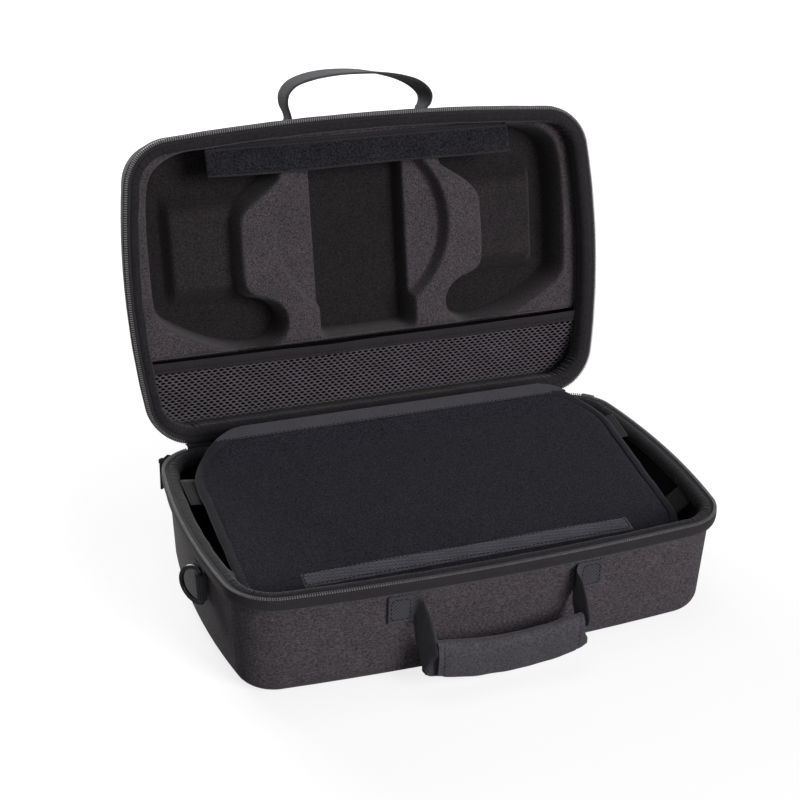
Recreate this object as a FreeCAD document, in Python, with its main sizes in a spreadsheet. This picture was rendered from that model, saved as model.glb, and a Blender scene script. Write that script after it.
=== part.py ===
import FreeCAD, Part
import math
import os
import Sketcher

# Zip-round hard storage case: two moulded shells joined along the rear edge, a tray in the lid,
# a padded divider over the base, webbing handles and rings. Millimetres, +Z up, front at -Y.
# The origin is the middle of the base's underside.

doc = FreeCAD.newDocument("storage_case")
sheet = doc.addObject("Spreadsheet::Sheet", "sizes")

SIZES = (
    ("half_width", 215.0, "half the overall width at the zip"),
    ("front_reach", 134.0, "zip line at the middle of the front"),
    ("rear_reach", 131.5, "straight zip line at the rear, on the hinge axis"),
    ("corner_round", 42.0, "plan corner radius at the zip"),
    ("side_bow", 640.0, "radius of the bowed left and right sides"),
    ("front_bow", 2000.0, "radius of the bowed front"),
    ("base_depth", 94.0, "base height up to the zip plane"),
    ("lid_depth", 62.0, "lid height above the zip plane"),
    ("open_angle", 102.0, "angle of the open lid from closed, degrees"),
    ("wall", 5.0, "shell wall thickness"),
    ("wall_start", 4.0, "shell edge below the zip plane"),
    ("lip", 5.5, "overhang of the zip tape over the wall"),
    ("draft", 0.05, "wall draft, inset for each unit of depth"),
    ("foot_round", 16.0, "radius of the shell's outer floor edge"),
    ("seam_gap", 0.3, "clearance between sewn neighbours"),
    ("rim_start", 0.4, "binding and teeth below the zip plane"),
    ("binding_out", 6.0, "inset of the binding over the shell edge"),
    ("binding_cap", 3.3, "thickness of the binding over the shell edge"),
    ("base_binding_drop", 9.0, "height of the binding inside the base rim"),
    ("lid_binding_drop", 15.6, "height of the binding inside the lid rim"),
    ("binding_in", 14.2, "inset of the binding's inner face"),
    ("binding_leg", 11.8, "inset of the binding's outer face below the shell edge"),
    ("binding_soft", 2.0, "eased edge of the binding"),
    ("tape_start", 1.5, "zip tape below the zip plane"),
    ("tape_height", 11.5, "height of the zip tape lip"),
    ("tape_soft", 3.2, "eased edge of the zip tape"),
    ("teeth_out", 0.6, "inset of the tooth row's outer edge"),
    ("teeth_in", 3.4, "inset of the tooth row's inner edge"),
    ("teeth_height", 0.9, "height of the tooth row"),
    ("zip_end", 178.0, "half the toothless length at the rear"),
    ("hinge_roll", 2.2, "radius of the rolled hinge strip"),
    ("hinge_half", 165.0, "half length of the hinge strip"),
    ("tray_face", 18.0, "tray face below the lid's zip plane"),
    ("tray_back", 56.6, "tray underside below the lid's zip plane"),
    ("tray_inset", 15.4, "inset of the tray face"),
    ("tray_round", 12.5, "radius of the tray's back edge"),
    ("tray_low", 66.0, "tray edge from the hinge"),
    ("recess_depth", 34.0, "depth of the three deep recesses"),
    ("recess_taper", 6.0, "slope of the recess walls, degrees"),
    ("recess_round", 13.0, "plan corner radius of the shaped recesses"),
    ("disc_radius", 78.0, "radius of the round recess"),
    ("disc_depth", 15.0, "depth of the round recess"),
    ("disc_mid", 165.0, "round recess middle from the hinge"),
    ("slot_half", 42.5, "half width of the middle recess"),
    ("slot_low", 76.0, "middle recess, near edge from the hinge"),
    ("slot_high", 238.0, "middle recess, far edge from the hinge"),
    ("slot_round", 9.0, "plan corner radius of the middle recess"),
    ("pocket_side", 18.9, "net pocket inside the zip line at the sides"),
    ("pocket_half", "=half_width - pocket_side", "half width of the net pocket"),
    ("pocket_low_half", 160.0, "half width of the net pocket at the hinge"),
    ("pocket_high", 66.0, "upper edge of the net from the hinge"),
    ("pocket_bend", 44.0, "where the net's sides turn in, from the hinge"),
    ("pocket_low", 14.6, "lower edge of the net from the hinge"),
    ("pocket_face", 13.5, "net below the zip plane at its upper edge"),
    ("pocket_tilt", 20.0, "slope of the net towards the hinge, degrees"),
    ("net_sheet", 1.2, "net thickness"),
    ("net_gap", 5.6, "net opening across its corners"),
    ("net_pitch_across", 11.6, "spacing of the net openings along the pocket"),
    ("net_pitch_up", 9.6, "spacing of the net openings up the pocket"),
    ("net_columns", 30, "net openings along the pocket"),
    ("net_rows", 4, "net openings up the pocket"),
    ("net_margin", 9.0, "first net opening from the upper edge"),
    ("hem_high", 71.0, "upper edge of the pocket hem from the hinge"),
    ("hem_width", 9.0, "height of the pocket hem"),
    ("hem_sheet", 2.2, "thickness of the pocket hem"),
    ("flap_half", 136.0, "half width of the fastening flap"),
    ("flap_high", 247.5, "upper edge of the flap from the hinge"),
    ("flap_low", 222.0, "lower edge of the flap from the hinge"),
    ("flap_face", 16.3, "flap below the zip plane"),
    ("flap_sheet", 1.4, "flap thickness"),
    ("loop_low", 223.0, "lower edge of the loop strip from the hinge"),
    ("loop_high", 243.5, "upper edge of the loop strip from the hinge"),
    ("fastener_sheet", 1.6, "thickness of hook and loop strips"),
    ("lid_handle_level", 27.0, "lid handle below the lid's zip plane"),
    ("webbing_width", 24.0, "webbing width"),
    ("webbing_sheet", 2.0, "webbing thickness"),
    ("lid_handle_foot", 59.0, "half distance between the lid handle's legs"),
    ("lid_handle_swell", 66.0, "half width of the lid handle"),
    ("lid_handle_rise", 41.0, "height of the lid handle"),
    ("handle_turn", 24.0, "outer radius of the lid handle's bends"),
    ("foot_length", 22.0, "length of a stitched webbing end"),
    ("grip_half", 61.0, "half length of the padded grip"),
    ("grip_height", 32.0, "height of the padded grip"),
    ("grip_width", 15.0, "thickness of the padded grip"),
    ("grip_round", 6.5, "edge radius of the padded grip"),
    ("grip_level", 31.0, "grip middle above the underside"),
    ("grip_out", 27.0, "grip middle in front of the wall"),
    ("handle_drop", 27.5, "stitched ends below the zip plane"),
    ("handle_level", "=base_depth - handle_drop", "stitched ends above the underside"),
    ("handle_inner", 68.0, "inner edge of a stitched end"),
    ("loop_narrow", 5.4, "narrowing of the handle loop towards the grip"),
    ("panel_side", 27.0, "divider inside the zip line at the sides"),
    ("panel_half", "=half_width - panel_side", "half width of the divider"),
    ("panel_front", 98.0, "front edge of the divider"),
    ("panel_rear", 103.9, "rear edge of the divider, seen from above"),
    ("panel_level", 86.0, "divider surface at the middle"),
    ("panel_slope", 11.0, "slope of the divider, degrees"),
    ("panel_bend_start", 74.0, "where the divider starts to curl up"),
    ("panel_bend", 48.0, "radius of the curled rear margin"),
    ("panel_bend_end", 54.5, "slope at the rear edge, degrees"),
    ("panel_sheet", 4.6, "divider thickness"),
    ("edge_sheet", 6.6, "thickness over the divider's bound edge"),
    ("edge_width", 10.0, "width of the divider's edge binding"),
    ("panel_front_round", 34.0, "front corner radius of the divider"),
    ("panel_rear_round", 50.0, "rear corner radius of the divider"),
    ("band_width", 6.0, "ribbed band, seen from above"),
    ("band_start", "=panel_rear - band_width", "front edge of the ribbed band, seen from above"),
    ("hook_half", 141.0, "half length of the hook strip"),
    ("hook_rear", 66.0, "rear edge of the hook strip"),
    ("hook_front", 82.0, "front edge of the hook strip"),
    ("strap_side", 19.1, "strap ends inside the zip line at the sides"),
    ("strap_half", "=half_width - strap_side", "half span of the cross straps"),
    ("strap_end", 4.4, "run of the straps' raised ends"),
    ("strap_flat", "=strap_half - strap_end", "half of the straps' flat middle"),
    ("strap_sheet", 1.5, "strap thickness"),
    ("rear_strap_at", 55.0, "rear strap position"),
    ("rear_strap_width", 33.0, "rear strap width"),
    ("rear_strap_rise", 1.5, "rise of the rear strap's ends"),
    ("front_strap_at", 60.0, "front strap position ahead of the middle"),
    ("front_strap_width", 22.0, "front strap width"),
    ("front_strap_rise", 20.0, "rise of the front strap's ends"),
    ("ring_at", 45.0, "ring position ahead of the middle"),
    ("ring_drop", 29.0, "ring middle below the zip plane"),
    ("ring_level", "=base_depth - ring_drop", "ring middle above the underside"),
    ("ring_wire", 1.9, "ring wire radius"),
    ("ring_straight", 12.0, "half of the ring's straight bar"),
    ("ring_corner", 4.0, "ring corner radius"),
    ("ring_swing", 55.0, "ring angle towards the rear, degrees"),
    ("tab_length", 26.0, "ring tab along the wall"),
    ("tab_half", 11.4, "half height of the ring tab"),
    ("tab_sheet", 2.4, "ring tab thickness"),
    ("tab_roll", 4.2, "outer radius of the tab's fold"),
    ("tab_bore", 2.3, "inner radius of the tab's fold"),
    ("slider_length", 11.0, "zip slider length"),
    ("slider_width", 8.4, "zip slider height on the tape"),
    ("slider_sheet", 3.6, "zip slider thickness"),
    ("slider_drop", 6.2, "zip slider middle below the zip plane"),
    ("slider_level", "=base_depth - slider_drop", "zip slider middle above the underside"),
    ("crown_out", 6.6, "bar of the slider in front of the tape"),
    ("crown_wire", 0.8, "half thickness of the slider's bar"),
    ("crown_half", 3.6, "half length of the slider's bridge"),
    ("crown_post", 1.2, "thickness of the bridge's ends"),
    ("pull_length", 26.0, "zip pull length"),
    ("pull_width", 5.2, "zip pull width"),
    ("pull_sheet", 1.6, "zip pull thickness"),
    ("pull_eye", 1.3, "zip pull eye radius"),
    ("pull_ring", 2.5, "outer radius of the zip pull's eye"),
    ("pull_ring_width", 2.0, "width of the zip pull's eye"),
)
for row, (alias, value, note) in enumerate(SIZES, start=1):
    sheet.set(f"A{row}", note)
    sheet.set(f"B{row}", str(value))
    sheet.setAlias(f"B{row}", alias)
doc.recompute()

FINE = 1e-3
STEEP = 0.5
ZERO = "0 * sizes.wall"
UP = FreeCAD.Vector(0, 0, 1)


def size(alias):
    return float(sheet.get(alias))


# Shared helpers

def new_body(label):
    body = doc.addObject("PartDesign::Body", label)
    body.Label = label
    return body


def new_sketch(body, name, role="XY_Plane", level=None, along=None, turned=None):
    # turned holds an axis of the sketch and the angle that it is turned by
    sketch = body.newObject("Sketcher::SketchObject", f"{body.Label}_{name}")
    support = [f for f in body.Origin.OriginFeatures if f.Role == role][0]
    sketch.AttachmentSupport = (support, [""])
    sketch.MapMode = "FlatFace"
    if turned is not None:
        spin = FreeCAD.Rotation(FreeCAD.Vector(*turned[0]), 1)
        sketch.AttachmentOffset = FreeCAD.Placement(FreeCAD.Vector(), spin)
        sketch.setExpression("AttachmentOffset.Rotation.Angle", turned[1])
    if along is not None:
        sketch.setExpression("AttachmentOffset.Base.y", along)
    if level is not None:
        sketch.setExpression("AttachmentOffset.Base.z", level)
    doc.recompute()
    return sketch


def bind(sketch, constraint, name, expression):
    index = sketch.addConstraint(constraint)
    sketch.renameConstraint(index, name)
    sketch.setExpression(f"Constraints.{name}", expression)


def value_of(expression):
    result = sheet.evalExpression(expression)
    return float(getattr(result, "Value", result))


def unit(vector):
    return vector.normalize() if vector.Length else vector


def add_outline(sketch, tag, inset):
    # bowed front and sides, straight rear, four equal corners, moved inwards by the inset
    shift = value_of(inset)
    round_full = size("corner_round")
    side_r = size("side_bow")
    front_r = size("front_bow")
    rear = size("rear_reach")
    front_mid = FreeCAD.Vector(0, front_r - size("front_reach"), 0)
    side_mid = FreeCAD.Vector(size("half_width") - side_r, 0, 0)
    reach_side = side_r - round_full
    reach_front = front_r - round_full
    rear_y = rear - round_full
    rear_corner = FreeCAD.Vector(side_mid.x + math.sqrt(reach_side ** 2 - rear_y ** 2), rear_y, 0)
    apart = (front_mid - side_mid).Length
    along = (apart ** 2 + reach_side ** 2 - reach_front ** 2) / (2 * apart)
    across = math.sqrt(reach_side ** 2 - along ** 2)
    line = (front_mid - side_mid) / apart
    front_corner = side_mid + line * along + FreeCAD.Vector(line.y, -line.x, 0) * across

    def flip(v):
        return FreeCAD.Vector(-v.x, v.y, 0)

    def arc(mid, radius, start, end):
        begin = math.atan2(start.y, start.x)
        finish = math.atan2(end.y, end.x)
        if finish < begin:
            finish += 2 * math.pi
        circle = Part.Circle(mid, UP, radius)
        return sketch.addGeometry(Part.ArcOfCircle(circle, begin, finish), False)

    to_front = unit(front_corner - front_mid)
    to_side = unit(front_corner - side_mid)
    to_side_rear = unit(rear_corner - side_mid)
    back = FreeCAD.Vector(0, 1, 0)
    small = round_full - shift
    front = arc(front_mid, front_r - shift, flip(to_front), to_front)
    front_right = arc(front_corner, small, to_front, to_side)
    right = arc(side_mid, side_r - shift, to_side, to_side_rear)
    rear_right = arc(rear_corner, small, to_side_rear, back)
    edge_y = rear - shift
    line_start = FreeCAD.Vector(rear_corner.x, edge_y, 0)
    line_end = FreeCAD.Vector(-rear_corner.x, edge_y, 0)
    rear_line = sketch.addGeometry(Part.LineSegment(line_start, line_end), False)
    rear_left = arc(flip(rear_corner), small, back, flip(to_side_rear))
    left = arc(flip(side_mid), side_r - shift, flip(to_side_rear), flip(to_side))
    front_left = arc(flip(front_corner), small, flip(to_side), flip(to_front))
    loop = (front, front_right, right, rear_right, rear_line, rear_left, left, front_left)
    for first, second in zip(loop, loop[1:] + loop[:1]):
        sketch.addConstraint(Sketcher.Constraint("Tangent", first, 2, second, 1))
    for corner in (rear_right, rear_left, front_left):
        sketch.addConstraint(Sketcher.Constraint("Equal", front_right, corner))
    sketch.addConstraint(Sketcher.Constraint("Equal", right, left))
    sketch.addConstraint(Sketcher.Constraint("Symmetric", front, 1, front, 2, -2))
    sketch.addConstraint(Sketcher.Constraint("Symmetric", rear_line, 1, rear_line, 2, -2))
    for name, arc_id, radius in (("corner_round", front_right, small),
                                 ("front_bow", front, front_r - shift),
                                 ("side_bow", right, side_r - shift)):
        limit = Sketcher.Constraint("Radius", arc_id, radius)
        bind(sketch, limit, f"{tag}_{name}", f"sizes.{name} - ({inset})")
    limit = Sketcher.Constraint("DistanceY", -1, 1, rear_line, 1, edge_y)
    bind(sketch, limit, f"{tag}_rear", f"sizes.rear_reach - ({inset})")
    limit = Sketcher.Constraint("DistanceY", -1, 1, front, 3, front_mid.y)
    bind(sketch, limit, f"{tag}_front_mid", "sizes.front_bow - sizes.front_reach")
    limit = Sketcher.Constraint("DistanceX", right, 3, -1, 1, -side_mid.x)
    bind(sketch, limit, f"{tag}_side_mid", "sizes.side_bow - sizes.half_width")
    sketch.addConstraint(Sketcher.Constraint("PointOnObject", right, 3, -1))


def outline(body, name, inset, level):
    sketch = new_sketch(body, name, level=level)
    add_outline(sketch, "line", inset)
    doc.recompute()
    return sketch


def ring(body, name, outer, inner, level):
    sketch = new_sketch(body, name, level=level)
    add_outline(sketch, "outer", outer)
    add_outline(sketch, "inner", inner)
    doc.recompute()
    return sketch


def add_polygon(sketch, tag, corners, rounds=None):
    # closed polygon whose corner points are bound to the sheet, each rounded by its own radius
    points = [FreeCAD.Vector(value_of(x), value_of(y), 0) for x, y in corners]
    count = len(points)
    if rounds is None:
        rounds = [None] * count
    elif isinstance(rounds, str):
        rounds = [rounds] * count
    starts = []
    ends = []
    arcs = {}
    for i, point in enumerate(points):
        before = unit(points[i - 1] - point)
        after = unit(points[(i + 1) % count] - point)
        if rounds[i] is None:
            starts.append(point)
            ends.append(point)
            continue
        radius = value_of(rounds[i])
        half = before.getAngle(after) / 2
        cut = radius / math.tan(half)
        middle = point + unit(before + after) * (radius / math.sin(half))
        first = point + before * cut
        last = point + after * cut
        starts.append(last)
        ends.append(first)
        angle_first = math.atan2(first.y - middle.y, first.x - middle.x)
        angle_last = math.atan2(last.y - middle.y, last.x - middle.x)
        left_turn = (points[i] - points[i - 1]).cross(points[(i + 1) % count] - points[i]).z > 0
        if left_turn:
            begin, finish = angle_first, angle_last
        else:
            begin, finish = angle_last, angle_first
        if finish < begin:
            finish += 2 * math.pi
        shape = Part.ArcOfCircle(Part.Circle(middle, UP, radius), begin, finish)
        arcs[i] = (shape, left_turn, radius)
    lines = []
    for i in range(count):
        segment = Part.LineSegment(starts[i], ends[(i + 1) % count])
        lines.append(sketch.addGeometry(segment, False))
    for i, point in enumerate(points):
        line_in = lines[i - 1]
        line_out = lines[i]
        x, y = corners[i]
        if i in arcs:
            shape, left_turn, radius = arcs[i]
            arc = sketch.addGeometry(shape, False)
            enter, leave = (1, 2) if left_turn else (2, 1)
            sketch.addConstraint(Sketcher.Constraint("Tangent", line_in, 2, arc, enter))
            sketch.addConstraint(Sketcher.Constraint("Tangent", arc, leave, line_out, 1))
            bind(sketch, Sketcher.Constraint("Radius", arc, radius), f"{tag}_round_{i}", rounds[i])
            mark = sketch.addGeometry(Part.Point(point), True)
            sketch.addConstraint(Sketcher.Constraint("PointOnObject", mark, 1, line_in))
            sketch.addConstraint(Sketcher.Constraint("PointOnObject", mark, 1, line_out))
            owner, place = mark, 1
        else:
            sketch.addConstraint(Sketcher.Constraint("Coincident", line_in, 2, line_out, 1))
            owner, place = line_out, 1
        bind(sketch, Sketcher.Constraint("DistanceX", -1, 1, owner, place, point.x), f"{tag}_x_{i}", x)
        bind(sketch, Sketcher.Constraint("DistanceY", -1, 1, owner, place, point.y), f"{tag}_y_{i}", y)


def polygon(body, name, corners, rounds=None, **place):
    sketch = new_sketch(body, name, **place)
    add_polygon(sketch, "edge", corners, rounds)
    doc.recompute()
    return sketch


def rectangle(x_low, x_high, y_low, y_high):
    return [(x_low, y_low), (x_high, y_low), (x_high, y_high), (x_low, y_high)]


def add_circle(sketch, tag, x, y, radius):
    mid = FreeCAD.Vector(value_of(x), value_of(y), 0)
    circle = sketch.addGeometry(Part.Circle(mid, UP, value_of(radius)), False)
    bind(sketch, Sketcher.Constraint("Radius", circle, value_of(radius)), f"{tag}_radius", radius)
    bind(sketch, Sketcher.Constraint("DistanceX", -1, 1, circle, 3, mid.x), f"{tag}_x", x)
    bind(sketch, Sketcher.Constraint("DistanceY", -1, 1, circle, 3, mid.y), f"{tag}_y", y)


def circle(body, name, x, y, radius, **place):
    sketch = new_sketch(body, name, **place)
    add_circle(sketch, "disc", x, y, radius)
    doc.recompute()
    return sketch


def pad(body, sketch, length, middle=False, backwards=False, name="pad"):
    feature = body.newObject("PartDesign::Pad", f"{body.Label}_{name}")
    feature.Profile = sketch
    feature.setExpression("Length", length)
    feature.SideType = "Symmetric" if middle else "One side"
    feature.Reversed = backwards
    doc.recompute()
    return feature


def pocket(body, sketch, length=None, middle=False, backwards=False, taper=None, name="cut"):
    before = body.Shape.Volume
    feature = body.newObject("PartDesign::Pocket", f"{body.Label}_{name}")
    feature.Profile = sketch
    if length is None:
        feature.Type = "ThroughAll"
    else:
        feature.setExpression("Length", length)
    feature.SideType = "Symmetric" if middle else "One side"
    feature.Reversed = backwards
    if taper is not None:
        feature.setExpression("TaperAngle", taper)
    doc.recompute()
    if not body.Shape.Volume < before - FINE:
        raise RuntimeError(f"{feature.Label} removed nothing")
    return feature


def faces_at(feature, test):
    names = []
    for i, face in enumerate(feature.Shape.Faces, start=1):
        if test(face):
            names.append(f"Face{i}")
    return names


def upright(face):
    u_low, u_high, v_low, v_high = face.ParameterRange
    return abs(face.normalAt((u_low + u_high) / 2, (v_low + v_high) / 2).z) < STEEP


def at_level(height):
    # a face or edge that lies wholly in the plane at this height
    def test(item):
        box = item.BoundBox
        return abs(box.ZMin - height) < FINE and abs(box.ZMax - height) < FINE
    return test


def lean(body, feature, neutral):
    # drafts the upright faces inwards from the plane at this height
    leaned = body.newObject("PartDesign::Draft", f"{body.Label}_draft")
    leaned.Base = (feature, faces_at(feature, upright))
    leaned.NeutralPlane = (feature, faces_at(feature, at_level(value_of(neutral))))
    leaned.setExpression("Angle", "atan(sizes.draft)")
    doc.recompute()
    return leaned


def edges_at(feature, test):
    names = []
    for i, edge in enumerate(feature.Shape.Edges, start=1):
        if test(edge):
            names.append(f"Edge{i}")
    return names


def ease(body, feature, edges, radius, kind="Fillet"):
    eased = body.newObject(f"PartDesign::{kind}", f"{body.Label}_ease")
    eased.Base = (feature, edges)
    eased.setExpression("Radius" if kind == "Fillet" else "Size", radius)
    doc.recompute()
    return eased


def turn(piece, axis, angle):
    piece.Placement = FreeCAD.Placement(FreeCAD.Vector(), FreeCAD.Rotation(FreeCAD.Vector(*axis), 1))
    piece.setExpression("Placement.Rotation.Angle", angle)


def put(piece, x="0", y="0", z="0"):
    piece.setExpression("Placement.Base.x", x)
    piece.setExpression("Placement.Base.y", y)
    piece.setExpression("Placement.Base.z", z)


def stand_base(piece):
    # a half is drawn from its zip plane downwards, the base turns it over
    turn(piece, (0, 1, 0), "180")
    put(piece, z="sizes.base_depth")


def open_lid(piece):
    # swung up about the rear zip line
    turn(piece, (-1, 0, 0), "sizes.open_angle")
    put(
        piece,
        y="sizes.rear_reach * (1 - cos(sizes.open_angle * 1deg))",
        z="sizes.base_depth + sizes.rear_reach * sin(sizes.open_angle * 1deg)",
    )


# The two halves: shell, rim binding, zip tape and tooth row

def build_half(prefix, depth, place):
    shell = new_body(f"{prefix}_shell")
    rim = outline(shell, "rim", "sizes.lip", "sizes.wall_start")
    block = pad(shell, rim, f"{depth} - sizes.wall_start")
    block = lean(shell, block, "sizes.wall_start")
    block = ease(shell, block, edges_at(block, at_level(value_of(depth))), "sizes.foot_round")
    hollow = shell.newObject("PartDesign::Thickness", f"{prefix}_shell_hollow")
    hollow.Base = (block, faces_at(block, at_level(size("wall_start"))))
    hollow.setExpression("Value", "sizes.wall")
    hollow.Reversed = True
    hollow.Join = "Intersection"
    place(shell)

    binding = new_body(f"{prefix}_rim_binding")
    cap = ring(binding, "cap", "sizes.binding_out", "sizes.binding_in", "sizes.rim_start")
    pad(binding, cap, "sizes.binding_cap", name="cap_roll")
    leg = ring(binding, "leg", "sizes.binding_leg", "sizes.binding_in", "sizes.rim_start")
    feature = pad(binding, leg, f"sizes.{prefix}_binding_drop", name="leg_roll")
    soft = edges_at(feature, at_level(size("rim_start")))
    ease(binding, feature, soft, "sizes.binding_soft")
    place(binding)

    tape = new_body(f"{prefix}_zip_tape")
    band = ring(tape, "band", ZERO, "sizes.lip - sizes.seam_gap", "sizes.tape_start")
    feature = pad(tape, band, "sizes.tape_height")
    limits = (size("tape_start"), value_of("sizes.tape_start + sizes.tape_height"))
    outer_edges = []
    for limit in limits:
        for name in edges_at(feature, at_level(limit)):
            edge = feature.Shape.getElement(name)
            middle = edge.valueAt((edge.FirstParameter + edge.LastParameter) / 2)
            if zip_inset(middle) < size("lip") / 2:
                outer_edges.append(name)
    ease(tape, feature, outer_edges, "sizes.tape_soft")
    place(tape)

    teeth = new_body(f"{prefix}_zip_teeth")
    row_ring = ring(teeth, "row", "sizes.teeth_out", "sizes.teeth_in", "sizes.rim_start")
    pad(teeth, row_ring, "sizes.teeth_height")
    gap = rectangle("-sizes.zip_end", "sizes.zip_end", ZERO, "sizes.rear_reach + sizes.lip")
    pocket(teeth, polygon(teeth, "gap", gap), middle=True)
    place(teeth)


def zip_inset(point):
    # distance of a rim point inside the zip line
    side_mid = size("half_width") - size("side_bow")
    side = size("side_bow") - math.hypot(abs(point.x) - side_mid, point.y)
    front = size("front_bow") - math.hypot(point.x, point.y - size("front_bow") + size("front_reach"))
    rear = size("rear_reach") - point.y
    return min(side, front, rear)


build_half("base", "sizes.base_depth", stand_base)
build_half("lid", "sizes.lid_depth", open_lid)

hinge = doc.addObject("Part::Cylinder", "hinge_strip")
hinge.setExpression("Radius", "sizes.hinge_roll")
hinge.setExpression("Height", "2 * sizes.hinge_half")
turn(hinge, (0, 1, 0), "90")
put(hinge, x="-sizes.hinge_half", y="sizes.rear_reach", z="sizes.base_depth")


# Lid tray: a moulded block with two shaped recesses, a round one and a deeper slot across it

PAD_RECESS = (
    (74, 92),
    (108, 75),
    (188, 110),
    (188, 215),
    (140, 246),
    (90, 238),
    (70, 214),
    (106, 188),
    (110, 126),
)
for i, (across, up) in enumerate(PAD_RECESS):
    row = len(SIZES) + 1 + i
    sheet.set(f"A{row}", f"shaped recess corner {i}, across then from the hinge")
    sheet.set(f"B{row}", str(across))
    sheet.setAlias(f"B{row}", f"recess_across_{'abcdefghi'[i]}")
    sheet.set(f"C{row}", str(up))
    sheet.setAlias(f"C{row}", f"recess_up_{'abcdefghi'[i]}")
doc.recompute()

tray = new_body("lid_tray")
face = outline(tray, "face", "sizes.tray_inset", "sizes.tray_face")
block = pad(tray, face, "sizes.tray_back - sizes.tray_face")
block = lean(tray, block, "sizes.tray_face")
ease(tray, block, edges_at(block, at_level(size("tray_back"))), "sizes.tray_round")
far = "sizes.half_width + sizes.lip"
low = "sizes.rear_reach - sizes.tray_low"
strip = rectangle(f"-({far})", far, low, "sizes.rear_reach + sizes.lip")
pocket(tray, polygon(tray, "pocket_side", strip), middle=True, name="pocket_side_cut")
disc = circle(
    tray,
    "disc",
    ZERO,
    "sizes.rear_reach - sizes.disc_mid",
    "sizes.disc_radius",
    level="sizes.tray_face",
)
pocket(tray, disc, "sizes.disc_depth", backwards=True, name="disc_cut")
slot_corners = rectangle(
    "-sizes.slot_half",
    "sizes.slot_half",
    "sizes.rear_reach - sizes.slot_high",
    "sizes.rear_reach - sizes.slot_low",
)
slot = polygon(tray, "slot", slot_corners, "sizes.slot_round", level="sizes.tray_face")
pocket(tray, slot, "sizes.recess_depth", backwards=True, taper="-sizes.recess_taper", name="slot_cut")
for side, sign in (("left", "-"), ("right", "")):
    corners = []
    for letter in "abcdefghi":
        across = f"{sign}sizes.recess_across_{letter}"
        corners.append((across, f"sizes.rear_reach - sizes.recess_up_{letter}"))
    recess = polygon(tray, f"{side}_recess", corners, "sizes.recess_round", level="sizes.tray_face")
    pocket(
        tray,
        recess,
        "sizes.recess_depth",
        backwards=True,
        taper="-sizes.recess_taper",
        name=f"{side}_recess_cut",
    )
open_lid(tray)


# Lid furnishings: net pocket, its hem, the fastening flap with its loop strip, and the plain handle

net = new_body("mesh_pocket")
net_place = {
    "along": "sizes.rear_reach - sizes.pocket_high",
    "level": "sizes.pocket_face",
    "turned": ((1, 0, 0), "sizes.pocket_tilt"),
}
net_reach = "(sizes.pocket_high - sizes.pocket_low) / cos(sizes.pocket_tilt * 1deg)"
net_bend = "(sizes.pocket_high - sizes.pocket_bend) / cos(sizes.pocket_tilt * 1deg)"
net_corners = [
    ("-sizes.pocket_half", ZERO),
    ("sizes.pocket_half", ZERO),
    ("sizes.pocket_half", net_bend),
    ("sizes.pocket_low_half", net_reach),
    ("-sizes.pocket_low_half", net_reach),
    ("-sizes.pocket_half", net_bend),
]
pad(net, polygon(net, "sheet", net_corners, **net_place), "sizes.net_sheet")
first_x = "-sizes.net_pitch_across * (sizes.net_columns - 1) / 2"
first_y = "sizes.net_margin"
gap_corners = [
    (f"{first_x} - sizes.net_gap / 2", first_y),
    (first_x, f"{first_y} - sizes.net_gap / 2"),
    (f"{first_x} + sizes.net_gap / 2", first_y),
    (first_x, f"{first_y} + sizes.net_gap / 2"),
]
gap_sketch = polygon(net, "gap", gap_corners, **net_place)
gap_cut = pocket(net, gap_sketch, middle=True, name="gap_cut")
net_grid = net.newObject("PartDesign::MultiTransform", "mesh_pocket_grid")
net_grid.Originals = [gap_cut]
steps = []
for name, axis, pitch, count in (
    ("across", "H_Axis", "net_pitch_across", "net_columns"),
    ("up", "V_Axis", "net_pitch_up", "net_rows"),
):
    step = net.newObject("PartDesign::LinearPattern", f"mesh_pocket_{name}")
    step.Direction = (gap_sketch, [axis])
    step.setExpression("Occurrences", f"sizes.{count}")
    step.setExpression("Length", f"sizes.{pitch} * (sizes.{count} - 1)")
    steps.append(step)
net_grid.Transformations = steps
net.Tip = net_grid
open_lid(net)


def lid_sheet(label, half, low, high, level, thickness):
    # flat strip across the lid between two distances from the hinge
    body = new_body(label)
    corners = rectangle(f"-{half}", half, f"sizes.rear_reach - {high}", f"sizes.rear_reach - {low}")
    pad(body, polygon(body, "strip", corners, level=level), thickness)
    open_lid(body)


lid_sheet(
    "mesh_pocket_hem",
    "sizes.pocket_half",
    "(sizes.hem_high - sizes.hem_width)",
    "sizes.hem_high",
    "sizes.pocket_face - sizes.seam_gap - sizes.hem_sheet",
    "sizes.hem_sheet",
)
lid_sheet(
    "loop_flap",
    "sizes.flap_half",
    "sizes.flap_low",
    "sizes.flap_high",
    "sizes.flap_face",
    "sizes.flap_sheet",
)
lid_sheet(
    "loop_strip",
    "sizes.flap_half",
    "sizes.loop_low",
    "sizes.loop_high",
    "sizes.flap_face - sizes.seam_gap / 2 - sizes.fastener_sheet",
    "sizes.fastener_sheet",
)

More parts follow.
